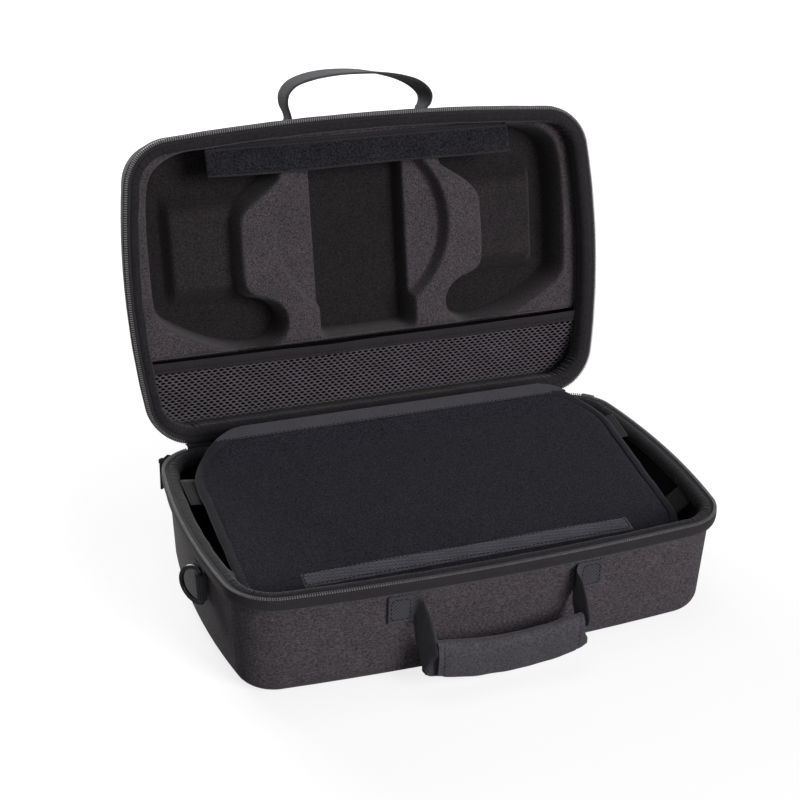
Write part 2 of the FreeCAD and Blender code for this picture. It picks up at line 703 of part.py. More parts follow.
lid_handle = new_body("lid_handle")
handle_edge = "(sizes.lid_handle_level - sizes.webbing_width / 2)"
bow_drop = "sizes.lid_handle_foot * sizes.lid_handle_foot / (2 * sizes.front_bow)"
lid_wall = (
    f"-sizes.front_reach + sizes.lip + {bow_drop}"
    f" + sizes.draft * ({handle_edge} - sizes.wall_start)"
)
sheet_in = "-sizes.seam_gap"
sheet_out = "-sizes.seam_gap - sizes.webbing_sheet"
top_in = "-sizes.lid_handle_rise + sizes.webbing_sheet"
top_out = "-sizes.lid_handle_rise"
right_half = [
    ("sizes.lid_handle_foot + sizes.foot_length", sheet_in, None),
    ("sizes.lid_handle_foot", sheet_in, None),
    ("sizes.lid_handle_swell", top_in, "sizes.handle_turn - sizes.webbing_sheet"),
]
right_outer = [
    ("sizes.lid_handle_swell + sizes.webbing_sheet", top_out, "sizes.handle_turn"),
    ("sizes.lid_handle_foot + sizes.webbing_sheet", sheet_out, None),
    ("sizes.lid_handle_foot + sizes.foot_length", sheet_out, None),
]


def mirrored(points):
    return [(f"-({x})", y, soft) for x, y, soft in reversed(points)]


band = right_half + mirrored(right_half) + mirrored(right_outer) + right_outer
band_sketch = polygon(
    lid_handle,
    "band",
    [(x, y) for x, y, _ in band],
    [soft for _, _, soft in band],
    along=lid_wall,
    level=handle_edge,
    turned=((1, 0, 0), "-atan(sizes.draft)"),
)
pad(lid_handle, band_sketch, "sizes.webbing_width")
open_lid(lid_handle)


# Base handle: webbing sewn to the front wall at both ends, through a padded grip that hangs in front

wall_front = (
    "(sizes.front_reach - sizes.lip"
    " - sizes.draft * (sizes.base_depth - sizes.handle_level - sizes.wall_start))"
)
grip = new_body("base_handle_grip")
grip_place = {"role": "YZ_Plane"}
grip_mid = f"(-{wall_front} - sizes.grip_out)"
grip_corners = rectangle(
    f"{grip_mid} - sizes.grip_width / 2",
    f"{grip_mid} + sizes.grip_width / 2",
    "sizes.grip_level - sizes.grip_height / 2",
    "sizes.grip_level + sizes.grip_height / 2",
)
grip_sketch = polygon(grip, "pad", grip_corners, "sizes.grip_round", **grip_place)
pad(grip, grip_sketch, "2 * sizes.grip_half", middle=True)
slot_corners = rectangle(
    f"{grip_mid} - sizes.webbing_sheet / 2 - sizes.seam_gap",
    f"{grip_mid} + sizes.webbing_sheet / 2 + sizes.seam_gap",
    "sizes.grip_level - sizes.webbing_width / 2 - sizes.seam_gap",
    "sizes.grip_level + sizes.webbing_width / 2 + sizes.seam_gap",
)
pocket(grip, polygon(grip, "slot", slot_corners, **grip_place), middle=True)


def ribbon(stations, width, thickness):
    # closed strip through stations, each a middle point and the direction of its width
    wires = []
    for i, (middle, across) in enumerate(stations):
        before = stations[max(i - 1, 0)][0]
        after = stations[min(i + 1, len(stations) - 1)][0]
        travel = unit(after - before)
        side = unit(across - travel * across.dot(travel))
        face = travel.cross(side)
        points = []
        for a, b in ((-1, -1), (1, -1), (1, 1), (-1, 1)):
            points.append(middle + side * (a * width / 2) + face * (b * thickness / 2))
        wires.append(Part.makePolygon(points + points[:1]))
    return Part.makeLoft(wires, True, True)


lean_angle = math.atan(size("draft"))
wall_up = FreeCAD.Vector(0, -math.sin(lean_angle), math.cos(lean_angle))
inner_edge = size("handle_inner")
outer_edge = inner_edge + size("foot_length")
sewn_y = inner_edge ** 2 / (2 * size("front_bow")) - value_of(wall_front)
sewn_y -= size("seam_gap") + size("webbing_sheet") / 2
grip_y = value_of(grip_mid)
drop = size("handle_level") - size("grip_level")
reach = sewn_y - grip_y
# each row: share of the narrowing, of the reach and of the drop
LOOP = (
    (0.19, 0.1, 0.03),
    (0.44, 0.36, 0.22),
    (0.52, 0.62, 0.55),
    (0.59, 0.86, 0.86),
    (0.78, 0.98, 0.97),
    (1.0, 1.0, 1.0),
)
left_side = [
    (FreeCAD.Vector(-outer_edge, sewn_y, size("handle_level")), wall_up),
    (FreeCAD.Vector(-inner_edge - size("webbing_sheet"), sewn_y, size("handle_level")), wall_up),
]
for narrow, out, down in LOOP:
    x = narrow * size("loop_narrow") - inner_edge
    middle = FreeCAD.Vector(x, sewn_y - out * reach, size("handle_level") - down * drop)
    left_side.append((middle, UP))
right_side = [(FreeCAD.Vector(-m.x, m.y, m.z), w) for m, w in reversed(left_side)]
webbing = doc.addObject("Part::Feature", "base_handle_webbing")
webbing.Shape = ribbon(left_side + right_side, size("webbing_width"), size("webbing_sheet"))
webbing.Placement = FreeCAD.Placement()


# Divider: a padded board over the base with a bound edge, curled up at the rear under a ribbed band

def bent_profile(body, lift, thickness):
    # side view: a sloping plate that curls up at the rear, lifted off the board's surface
    sketch = new_sketch(body, "profile", role="YZ_Plane")
    slope = math.radians(size("panel_slope"))
    finish = math.radians(size("panel_bend_end"))
    inner_r = value_of(f"sizes.panel_bend - ({lift})")
    outer_r = value_of(f"sizes.panel_bend - ({lift}) + {thickness}")
    mid_y = "sizes.panel_bend_start - sizes.panel_bend * sin(sizes.panel_slope * 1deg)"
    mid_z = (
        "sizes.panel_level + tan(sizes.panel_slope * 1deg) * sizes.panel_bend_start"
        " + sizes.panel_bend * cos(sizes.panel_slope * 1deg)"
    )
    start_y = "-sizes.panel_front - sizes.edge_width"
    mid = FreeCAD.Vector(value_of(mid_y), value_of(mid_z), 0)

    def rim(radius, angle):
        return mid + FreeCAD.Vector(math.sin(angle), -math.cos(angle), 0) * radius

    run = FreeCAD.Vector(math.cos(slope), math.sin(slope), 0)
    top_bend = rim(inner_r, slope)
    top_start = top_bend + run * ((value_of(start_y) - top_bend.x) / run.x)
    low_bend = rim(outer_r, slope)
    low_start = top_start + (low_bend - top_bend)
    quarter = math.pi / 2
    top_circle = Part.Circle(mid, UP, inner_r)
    low_circle = Part.Circle(mid, UP, outer_r)
    top = sketch.addGeometry(Part.LineSegment(top_start, top_bend), False)
    top_bow = Part.ArcOfCircle(top_circle, slope - quarter, finish - quarter)
    top_arc = sketch.addGeometry(top_bow, False)
    end = sketch.addGeometry(Part.LineSegment(rim(inner_r, finish), rim(outer_r, finish)), False)
    low_bow = Part.ArcOfCircle(low_circle, slope - quarter, finish - quarter)
    low_arc = sketch.addGeometry(low_bow, False)
    under = sketch.addGeometry(Part.LineSegment(low_bend, low_start), False)
    front = sketch.addGeometry(Part.LineSegment(low_start, top_start), False)
    sketch.addConstraint(Sketcher.Constraint("Tangent", top, 2, top_arc, 1))
    sketch.addConstraint(Sketcher.Constraint("Coincident", top_arc, 2, end, 1))
    sketch.addConstraint(Sketcher.Constraint("Coincident", end, 2, low_arc, 2))
    sketch.addConstraint(Sketcher.Constraint("Tangent", low_arc, 1, under, 1))
    sketch.addConstraint(Sketcher.Constraint("Coincident", under, 2, front, 1))
    sketch.addConstraint(Sketcher.Constraint("Coincident", front, 2, top, 1))
    sketch.addConstraint(Sketcher.Constraint("Coincident", top_arc, 3, low_arc, 3))
    sketch.addConstraint(Sketcher.Constraint("PointOnObject", top_arc, 3, end))
    sketch.addConstraint(Sketcher.Constraint("Parallel", top, under))
    sketch.addConstraint(Sketcher.Constraint("Perpendicular", front, top))
    limits = (
        ("top_bend", ("Radius", top_arc, inner_r), f"sizes.panel_bend - ({lift})"),
        ("low_bend", ("Radius", low_arc, outer_r), f"sizes.panel_bend - ({lift}) + {thickness}"),
        ("slope", ("Angle", -1, 1, top, 1, slope), "sizes.panel_slope * 1deg"),
        ("mid_y", ("DistanceX", -1, 1, top_arc, 3, mid.x), mid_y),
        ("mid_z", ("DistanceY", -1, 1, top_arc, 3, mid.y), mid_z),
        ("start_y", ("DistanceX", -1, 1, top, 1, top_start.x), start_y),
        ("finish", ("Angle", -1, 1, end, 1, finish - quarter), "sizes.panel_bend_end * 1deg - 90deg"),
    )
    for name, limit, expression in limits:
        bind(sketch, Sketcher.Constraint(*limit), name, expression)
    doc.recompute()
    return pad(body, sketch, "2 * (sizes.panel_half + sizes.edge_width)", middle=True)


def plan(half, front, rear, front_round, rear_round):
    corners = rectangle(f"-({half})", half, f"-({front})", rear)
    return corners, [front_round, front_round, rear_round, rear_round]


def keep_inside(body, shape, name):
    # cuts away everything outside a plan outline
    sketch = new_sketch(body, name)
    reach = "2 * sizes.panel_half"
    add_polygon(sketch, "frame", rectangle(f"-{reach}", reach, f"-{reach}", reach))
    add_polygon(sketch, "edge", *shape)
    doc.recompute()
    pocket(body, sketch, middle=True, name=f"{name}_cut")


def cut_behind(body, line, behind):
    # cuts away what lies behind or ahead of a straight line across the divider
    reach = "2 * sizes.panel_half"
    limits = (line, reach) if behind else (f"-{reach}", line)
    corners = rectangle(f"-{reach}", reach, *limits)
    pocket(body, polygon(body, "line", corners), middle=True, name="line_cut")


panel_edge = plan(
    "sizes.panel_half",
    "sizes.panel_front",
    "sizes.panel_rear",
    "sizes.panel_front_round",
    "sizes.panel_rear_round",
)


def board_edge(gap):
    inner = f"(sizes.edge_width + {gap})"
    return plan(
        f"sizes.panel_half - {inner}",
        f"sizes.panel_front - {inner}",
        f"sizes.band_start - {gap}",
        f"sizes.panel_front_round - {inner}",
        f"sizes.panel_rear_round - {inner}",
    )


proud = "(sizes.edge_sheet - sizes.panel_sheet) / 2"
board = new_body("divider_panel")
bent_profile(board, ZERO, "sizes.panel_sheet")
keep_inside(board, board_edge("sizes.seam_gap"), "outline")

edging = new_body("divider_binding")
bent_profile(edging, proud, "sizes.edge_sheet")
keep_inside(edging, panel_edge, "outline")
cut_behind(edging, "sizes.band_start - sizes.seam_gap", behind=True)
hole = board_edge(ZERO)
pocket(edging, polygon(edging, "board", *hole), middle=True, name="board_cut")

ribbed = new_body("divider_band")
bent_profile(ribbed, proud, "sizes.edge_sheet")
keep_inside(ribbed, panel_edge, "outline")
cut_behind(ribbed, "sizes.band_start", behind=False)

hook = new_body("divider_hook_strip")
hook_corners = rectangle("-sizes.hook_half", "sizes.hook_half", "-sizes.hook_front", "-sizes.hook_rear")
hook_place = {
    "level": "sizes.panel_level + sizes.seam_gap",
    "turned": ((1, 0, 0), "sizes.panel_slope"),
}
pad(hook, polygon(hook, "strip", hook_corners, **hook_place), "sizes.fastener_sheet")


# Cross straps under the divider, sewn to the side walls

for label, at, width, rise in (
    ("rear_strap", "sizes.rear_strap_at", "sizes.rear_strap_width", "sizes.rear_strap_rise"),
    ("front_strap", "-sizes.front_strap_at", "sizes.front_strap_width", "sizes.front_strap_rise"),
):
    strap = new_body(label)
    corners = [
        ("-sizes.strap_half", rise),
        ("-sizes.strap_half", f"{rise} - sizes.strap_sheet"),
        ("-sizes.strap_flat - sizes.strap_sheet / 2", "-sizes.strap_sheet"),
        ("sizes.strap_flat + sizes.strap_sheet / 2", "-sizes.strap_sheet"),
        ("sizes.strap_half", f"{rise} - sizes.strap_sheet"),
        ("sizes.strap_half", rise),
        ("sizes.strap_flat - sizes.strap_sheet / 2", ZERO),
        ("-sizes.strap_flat + sizes.strap_sheet / 2", ZERO),
    ]
    pad(strap, polygon(strap, "side", corners, role="XZ_Plane"), width, middle=True)
    turn(strap, (1, 0, 0), "sizes.panel_slope")
    under = f"(sizes.panel_sheet + {proud} + sizes.seam_gap) / cos(sizes.panel_slope * 1deg)"
    put(strap, y=at, z=f"sizes.panel_level + tan(sizes.panel_slope * 1deg) * {at} - {under}")


# Rings for a shoulder strap, each on a folded tab on the side wall

tab_rear = "(sizes.tab_length - sizes.ring_at)"
ring_wall = (
    f"(sizes.half_width - {tab_rear} * {tab_rear} / (2 * sizes.side_bow) - sizes.lip"
    " - sizes.draft * (sizes.base_depth - sizes.ring_level - sizes.wall_start))"
)
roll_out = "(sizes.seam_gap + sizes.tab_roll)"
for side, sign in (("left", "-"), ("right", "")):
    tab = new_body(f"ring_tab_{side}")
    near = f"{sign}sizes.seam_gap"
    far = f"{sign}(sizes.seam_gap + sizes.tab_sheet)"
    low, high = (far, near) if sign else (near, far)
    tail = polygon(tab, "tail", rectangle(low, high, ZERO, "sizes.tab_length"))
    pad(tab, tail, "2 * sizes.tab_half", middle=True, name="tail_pad")
    roll = circle(tab, "roll", f"{sign}{roll_out}", ZERO, "sizes.tab_roll")
    pad(tab, roll, "2 * sizes.tab_half", middle=True, name="roll_pad")
    bore = circle(tab, "bore", f"{sign}{roll_out}", ZERO, "sizes.tab_bore")
    pocket(tab, bore, middle=True)
    turn(tab, (0, 1, 0), f"{sign}atan(sizes.draft)")
    put(tab, x=f"{sign}{ring_wall}", y="-sizes.ring_at", z="sizes.ring_level")

    hoop = new_body(f"d_ring_{side}")
    swing = "sizes.ring_swing" if not sign else "180 - sizes.ring_swing"
    path = new_sketch(hoop, "path", role="XZ_Plane", turned=((0, 1, 0), swing))
    straight = size("ring_straight")
    corner = size("ring_corner")
    bow = straight + corner
    low_corner = FreeCAD.Vector(corner, -straight, 0)
    high_corner = FreeCAD.Vector(corner, straight, 0)
    half_turn = math.pi / 2
    low_bar = Part.LineSegment(FreeCAD.Vector(), FreeCAD.Vector(0, -straight, 0))
    first = path.addGeometry(low_bar, False)
    low_arc = Part.ArcOfCircle(Part.Circle(low_corner, UP, corner), math.pi, math.pi + half_turn)
    second = path.addGeometry(low_arc, False)
    big_circle = Part.Circle(FreeCAD.Vector(corner, 0, 0), UP, bow)
    big_arc = Part.ArcOfCircle(big_circle, -half_turn, half_turn)
    third = path.addGeometry(big_arc, False)
    high_arc = Part.ArcOfCircle(Part.Circle(high_corner, UP, corner), half_turn, math.pi)
    fourth = path.addGeometry(high_arc, False)
    high_bar = Part.LineSegment(FreeCAD.Vector(0, straight, 0), FreeCAD.Vector())
    last = path.addGeometry(high_bar, False)
    path.addConstraint(Sketcher.Constraint("Tangent", first, 2, second, 1))
    path.addConstraint(Sketcher.Constraint("Tangent", second, 2, third, 1))
    path.addConstraint(Sketcher.Constraint("Tangent", third, 2, fourth, 1))
    path.addConstraint(Sketcher.Constraint("Tangent", fourth, 2, last, 1))
    path.addConstraint(Sketcher.Constraint("Coincident", last, 2, -1, 1))
    path.addConstraint(Sketcher.Constraint("Coincident", first, 1, -1, 1))
    path.addConstraint(Sketcher.Constraint("Vertical", first))
    path.addConstraint(Sketcher.Constraint("Equal", first, last))
    path.addConstraint(Sketcher.Constraint("Equal", second, fourth))
    for name, limit, expression in (
        ("straight", ("DistanceY", first, 2, -1, 1, straight), "sizes.ring_straight"),
        ("corner", ("Radius", second, corner), "sizes.ring_corner"),
        ("bow", ("Radius", third, bow), "sizes.ring_straight + sizes.ring_corner"),
    ):
        bind(path, Sketcher.Constraint(*limit), name, expression)
    wire = circle(hoop, "wire", ZERO, ZERO, "sizes.ring_wire")
    sweep = hoop.newObject("PartDesign::AdditivePipe", f"d_ring_{side}_sweep")
    sweep.Profile = wire
    sweep.Spine = (path, [])
    doc.recompute()
    turn(hoop, (0, 1, 0), f"{sign}atan(sizes.draft)")
    put(
        hoop,
        x=f"{sign}({ring_wall} + {roll_out} * cos(atan(sizes.draft)))",
        y="-sizes.ring_at",
        z=f"sizes.ring_level - {roll_out} * sin(atan(sizes.draft))",
    )


# Zip sliders, parked on the rear corners, and their hanging pulls

corner_mid = (
    "(sizes.half_width - sizes.side_bow + sqrt((sizes.side_bow - sizes.corner_round)"
    " * (sizes.side_bow - sizes.corner_round) - (sizes.rear_reach - sizes.corner_round)"
    " * (sizes.rear_reach - sizes.corner_round)))"
)
corner_reach = "sizes.corner_round * sin(45deg)"
for side, sign, heading in (("left", "-", "135"), ("right", "", "45")):
    slider = new_body(f"zip_slider_{side}")
    pull = new_body(f"zip_pull_{side}")
    face = "(sizes.seam_gap + sizes.slider_sheet)"
    plate = rectangle("sizes.seam_gap", face, "-sizes.slider_length / 2", "sizes.slider_length / 2")
    pad(slider, polygon(slider, "plate", plate), "sizes.slider_width", middle=True, name="plate_pad")
    bar_out = "sizes.crown_out + sizes.crown_wire"
    bridge = rectangle(f"{face} - sizes.crown_wire", bar_out, "-sizes.crown_half", "sizes.crown_half")
    pad(slider, polygon(slider, "bridge", bridge), "2 * sizes.crown_wire", middle=True, name="bridge_pad")
    bay = "(sizes.crown_half - sizes.crown_post)"
    window = rectangle(face, "sizes.crown_out - sizes.crown_wire", f"-{bay}", bay)
    pocket(slider, polygon(slider, "window", window), "2 * sizes.crown_wire", middle=True)

    eye = new_sketch(pull, "eye", role="XZ_Plane")
    add_circle(eye, "rim", ZERO, ZERO, "sizes.pull_ring")
    add_circle(eye, "hole", ZERO, ZERO, "sizes.pull_eye")
    doc.recompute()
    pad(pull, eye, "sizes.pull_ring_width", middle=True, name="eye_pad")
    tab_start = "-(sizes.pull_eye + sizes.pull_ring) / 2"
    tongue = rectangle("-sizes.pull_sheet / 2", "sizes.pull_sheet / 2", "-sizes.pull_length", tab_start)
    tongue_sketch = polygon(pull, "tongue", tongue, role="XZ_Plane")
    pad(pull, tongue_sketch, "sizes.pull_width", middle=True, name="tongue_pad")
    for piece, out in ((slider, "0"), (pull, "sizes.crown_out")):
        turn(piece, (0, 0, 1), heading)
        put(
            piece,
            x=f"{sign}({corner_mid} + {corner_reach} + {out} * cos(45deg))",
            y=f"sizes.rear_reach - sizes.corner_round + {corner_reach} + {out} * cos(45deg)",
            z="sizes.slider_level",
        )


# Report and files

def finish():
    doc.recompute()
    nodes = [o for o in doc.Objects if o.TypeId == "PartDesign::Body"]
    nodes += [o for o in doc.RootObjects if o.TypeId.startswith("Part::")]
    for item in doc.Objects:
        if "Invalid" in item.State or "Error" in item.State:
            raise RuntimeError(f"{item.Label} did not build: {item.State}")
    for node in nodes:
        if node.Shape.isNull() or not node.Shape.isValid():
            raise RuntimeError(f"{node.Label} has no valid solid")
    os.makedirs("parts", exist_ok=True)
    for node in nodes:
        node.Shape.exportStep(f"parts/{node.Label}.step")
        print(node.Label, len(node.Shape.Solids), round(node.Shape.Volume))


finish()
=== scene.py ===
import math
from collections import namedtuple

import bmesh
import bpy
import numpy as np
from bpy.props import FloatProperty, FloatVectorProperty, PointerProperty
from mathutils import Matrix, Vector


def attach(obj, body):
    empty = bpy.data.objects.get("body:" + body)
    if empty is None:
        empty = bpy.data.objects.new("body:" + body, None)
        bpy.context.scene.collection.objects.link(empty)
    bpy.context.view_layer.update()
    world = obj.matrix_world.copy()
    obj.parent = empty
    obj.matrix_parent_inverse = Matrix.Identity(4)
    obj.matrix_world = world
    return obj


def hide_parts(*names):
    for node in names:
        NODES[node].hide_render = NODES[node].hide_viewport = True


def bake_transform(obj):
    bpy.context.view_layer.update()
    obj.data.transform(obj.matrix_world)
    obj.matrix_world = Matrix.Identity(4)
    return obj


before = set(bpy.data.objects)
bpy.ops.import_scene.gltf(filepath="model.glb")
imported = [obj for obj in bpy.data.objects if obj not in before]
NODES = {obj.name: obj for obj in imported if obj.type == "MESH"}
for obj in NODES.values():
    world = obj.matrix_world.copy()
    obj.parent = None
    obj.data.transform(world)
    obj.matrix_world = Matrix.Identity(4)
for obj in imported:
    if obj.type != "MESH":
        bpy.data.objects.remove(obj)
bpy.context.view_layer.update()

bl_info = {
    "name": "Storage case looks",
    "version": (1, 0, 0),
    "blender": (4, 5, 0),
    "location": "View3D > Sidebar > Case",
    "description": "Cloth, zip, net, padding, webbing and stage for a zip-round storage case",
    "category": "Object",
}

MM = 0.001

# Shape of the case in millimetres, as the solids have it
HALF = 215.0
FRONT = 134.0
REAR = 131.5
CORNER = 42.0
FRONT_CORNER_BACK = 6.6
SIDE_BOW = 640.0
FRONT_BOW = 2000.0
ZIP_LEVEL = 94.0
LIP = 5.5
WALL_START = 4.0
DRAFT = 0.05
OPEN = math.radians(102.0)
TRAY_FACE = 18.0
# Corners that shape the outline of a gamepad recess: distance from the middle and from the hinge
PAD_RECESS = (
    (190, 122), (187, 104), (165, 89), (136, 75), (113, 70), (92, 70), (76, 80), (73, 98), (84, 112),
    (108, 119), (111, 136), (110, 168), (110, 188), (84, 206), (70, 218), (78, 240), (138, 248), (176, 237),
    (189, 214),
)
PANEL_LEVEL = 86.0
PANEL_SLOPE = math.radians(11.0)
PANEL_BEND_AT = 74.0
PANEL_BEND = 48.0
STITCH_LENGTH = 2.5
STITCH_RADIUS = 0.42
# In metres
WELD = 0.00005


def length(name, text, value):
    return FloatProperty(name=name, description=text, default=value, unit="LENGTH")


class CaseSizes(bpy.types.PropertyGroup):
    """Sizes of the cloth, zip and net that a user would change"""

    pucker: length("Pucker", "Depth of the gathers in the rim binding", 0.0009)
    tooth_pitch: length("Tooth pitch", "Spacing of the zip teeth", 0.0019)
    stitch_pitch: length("Stitch pitch", "Spacing of the stitches", 0.0036)
    net_pitch: length("Net pitch", "Width of a net cell", 0.0057)
    net_row: length("Net row", "Spacing of the net's rows", 0.0027)
    crown: length("Divider crown", "Swell of the divider's padding", 0.0012)
    grip_curve: length("Grip curve", "Rise of the grip's ends", 0.0075)


def colour(name, text, value):
    return FloatVectorProperty(
        name=name, description=text, subtype="COLOR", size=3, min=0.0, max=1.0, default=value)


class CaseColours(bpy.types.PropertyGroup):
    """Colours of the cloth, zip and metal"""

    shell: colour("Shell", "Heather cloth over the moulded shells", (0.067, 0.0575, 0.066))
    lining: colour("Lining", "Cloth inside the shells", (0.006, 0.006, 0.0068))
    binding: colour("Binding", "Gathered cloth over the rims", (0.0200, 0.0176, 0.0206))
    tape: colour("Zip tape", "Woven tape beside the teeth", (0.0275, 0.0250, 0.0278))
    teeth: colour("Teeth", "Zip teeth", (0.16, 0.155, 0.16))
    tray: colour("Tray", "Brushed cloth over the moulded tray", (0.063, 0.0535, 0.060))
    net: colour("Net", "Open net of the pocket", (0.140, 0.121, 0.142))
    webbing: colour("Webbing", "Handles, ring tabs and band", (0.058, 0.0555, 0.064))
    elastic: colour("Elastic", "Ribbed straps under the divider", (0.030, 0.030, 0.032))
    loops: colour("Loop strip", "Fuzzy strip on the flap", (0.0150, 0.0144, 0.0182))
    hooks: colour("Hook strip", "Woven strip on the divider", (0.086, 0.083, 0.100))
    divider: colour("Divider", "Knit over the divider's padding", (0.0185, 0.0176, 0.0238))
    grip: colour("Grip", "Smooth cloth over the grip", (0.066, 0.061, 0.070))
    thread: colour("Thread", "Stitching", (0.010, 0.010, 0.011))
    metal: colour("Metal", "Black metal of rings and zip", (0.090, 0.090, 0.094))


# Meshes

def together(*parts):
    """Coordinates side by side, as points"""
    return np.stack(np.broadcast_arrays(*parts), -1)


def pairs(down, across):
    """Two coordinates for each place of a grid"""
    return together(down[:, None], across[None, :])


def travelled(points):
    """Length of a line of points up to each of them"""
    return np.concatenate(([0], np.cumsum(np.linalg.norm(np.diff(points, axis=0), axis=1))))


def box_line(near, far):
    """Corners of a rectangle, from one corner round by the far one and back"""
    return near, (far[0], near[1]), far, (near[0], far[1]), near


def grid_faces(rows, columns, close_columns=False):
    r = np.arange(rows - 1)[:, None] * columns
    c = np.arange(columns if close_columns else columns - 1)[None, :]
    c_next = (c + 1) % columns
    return together(r + c, r + c_next, r + columns + c_next, r + columns + c).reshape(-1, 4).tolist()


class Heap:
    """Points, faces and cloth coordinates gathered for one piece"""

    def __init__(self):
        self.points = []
        self.faces = []
        self.cloth = []
        self.count = 0

    def add(self, points, faces, cloth=None):
        points = np.asarray(points, float).reshape(-1, 3)
        if cloth is None:
            cloth = points[:, :2]
        self.points.append(points)
        self.faces.extend([[i + self.count for i in face] for face in faces])
        self.cloth.append(np.asarray(cloth, float).reshape(-1, 2))
        self.count += len(points)
        return self

    def sheet(self, points, cloth=None, close_columns=False):
        return self.add(points, grid_faces(*points.shape[:2], close_columns), cloth)

    def tube(self, points, cloth):
        """A tube of rings with both ends closed"""
        rows, columns = points.shape[:2]
        faces = grid_faces(rows, columns, close_columns=True)
        faces.append(list(range(columns)))
        faces.append([(rows - 1) * columns + i for i in range(columns)][::-1])
        return self.add(points, faces, cloth)

    def slab(self, top, under, cloth):
        """A layer of cloth between two sheets"""
        return self.tube(np.concatenate((top, under[:, ::-1]), axis=1),
                         np.concatenate((cloth, cloth[:, ::-1]), axis=1))


def face_outwards(mesh, weld=0.0):
    """Turns all faces one way, after joining points nearer to one another than weld"""
    work = bmesh.new()
    work.from_mesh(mesh)
    if weld:
        bmesh.ops.remove_doubles(work, verts=work.verts, dist=weld)
    bmesh.ops.recalc_face_normals(work, faces=work.faces)
    work.to_mesh(mesh)
    work.free()


def add_piece(name, heap, body, kind, stands_for=(), smooth=True, facing=True):
    """Makes one mesh piece from a heap in millimetres, with a kind of finish, that moves with a body"""
    points = np.concatenate(heap.points) * MM
    cloth = np.concatenate(heap.cloth) * MM
    mesh = bpy.data.meshes.new(name)
    mesh.from_pydata(points.tolist(), [], heap.faces)
    layer = mesh.uv_layers.new(name="cloth")
    order = np.empty(len(mesh.loops), np.int32)
    mesh.loops.foreach_get("vertex_index", order)
    layer.data.foreach_set("uv", cloth[order].astype(np.float32).ravel())
    mesh.polygons.foreach_set("use_smooth", [smooth] * len(mesh.polygons))
    if facing:
        face_outwards(mesh)
    mesh.materials.append(finish_of(kind))
    mesh.update()
    piece = bpy.data.objects.new(name, mesh)
    bpy.context.scene.collection.objects.link(piece)
    if body:
        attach(piece, body)
    if stands_for:
        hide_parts(*stands_for)
    return piece


def ripple(share, seed, cycles):
    """Uneven waves round a closed line, between about -1 and 1"""
    chance = np.random.default_rng(seed)
    total = np.zeros_like(share)
    for count in cycles:
        total += np.sin(2 * math.pi * (count * share + chance.random())) * chance.uniform(0.6, 1.0)
    return total / math.sqrt(len(cycles))


def swell(x, y, seed, wave, count=9):
    """Uneven waves over a surface"""
    chance = np.random.default_rng(seed)
    total = np.zeros(np.broadcast(x, y).shape)
    for _ in range(count):
        turn = chance.uniform(0, 2 * math.pi)
        length = wave * chance.uniform(0.6, 1.7)
        run = (x * math.cos(turn) + y * math.sin(turn)) / length
        total += np.sin(2 * math.pi * (run + chance.random()))
    return total / math.sqrt(count)


def ease(value, low, high):
    t = np.clip((value - low) / (high - low), 0, 1)
    return t * t * (3 - 2 * t)


def unit(vectors):
    return vectors / np.maximum(np.linalg.norm(vectors, axis=-1, keepdims=True), 1e-9)


def even(path, pitch=None, count=None):
    """Evenly spaced points on a line of points"""
    path = np.asarray(path, float)
    along = travelled(path)
    if count is None:
        count = max(int(along[-1] / pitch), 2)
    want = np.linspace(0, along[-1], count)
    return np.stack([np.interp(want, along, path[:, i]) for i in range(path.shape[1])], -1)


def curve_through(points, count):
    """Smooth line through control points, evenly spaced"""
    p = np.asarray(points, float)
    p = np.concatenate((2 * p[:1] - p[1:2], p, 2 * p[-1:] - p[-2:-1]))
    t = np.linspace(0, 1, 24, endpoint=False)[:, None]
    runs = []
    for a, b, c, d in zip(p, p[1:], p[2:], p[3:]):
        runs.append(0.5 * (2 * b + (c - a) * t + (2 * a - 5 * b + 4 * c - d) * t ** 2
                           + (3 * b - a - 3 * c + d) * t ** 3))
    return even(np.concatenate(runs + [p[-2:-1]]), count=count)


def stitch_row(heap, path, face, lift):
    """A row of short stitches along a line, on the side of the cloth that face points to"""
    path = np.asarray(path, float)
    face = np.broadcast_to(np.asarray(face, float), path.shape)
    spots = even(np.concatenate((path, face), axis=1), pitch=sizes().stitch_pitch / MM)
    middle = (spots[1:, :3] + spots[:-1, :3]) / 2
    travel = unit(spots[1:, :3] - spots[:-1, :3])
    out = unit((spots[1:, 3:] + spots[:-1, 3:]) / 2)
    side = unit(np.cross(out, travel))
    sides = 5
    turn = np.arange(sides) * 2 * math.pi / sides
    shape = []
    for run, fat in ((-0.5, 0.3), (-0.3, 1.0), (0.3, 1.0), (0.5, 0.3)):
        for a in turn:
            shape.append((run * STITCH_LENGTH, math.cos(a) * fat * STITCH_RADIUS,
                          math.sin(a) * fat * STITCH_RADIUS * 0.7))
    shape = np.array(shape)
    faces = grid_faces(4, sides, close_columns=True)
    for centre, t, s, o in zip(middle, travel, side, out):
        points = centre + o * lift + shape[:, :1] * t + shape[:, 1:2] * s + shape[:, 2:] * o
        heap.add(points, faces)


def add_stitches(name, body, slot, *rows, lift=0.1):
    """One piece made of rows of stitches, each given as its path and facing"""
    seam = Heap()
    for path, face in rows:
        stitch_row(seam, path, face, lift)
    add_piece(name, seam, body, "thread")


def sewn_boxes(place, near, far, face):
    """Stitch rows round a rectangle on the left and one on the right"""
    return [(even([place(sign * x, y) for x, y in box_line(near, far)], count=60), face) for sign in (-1, 1)]


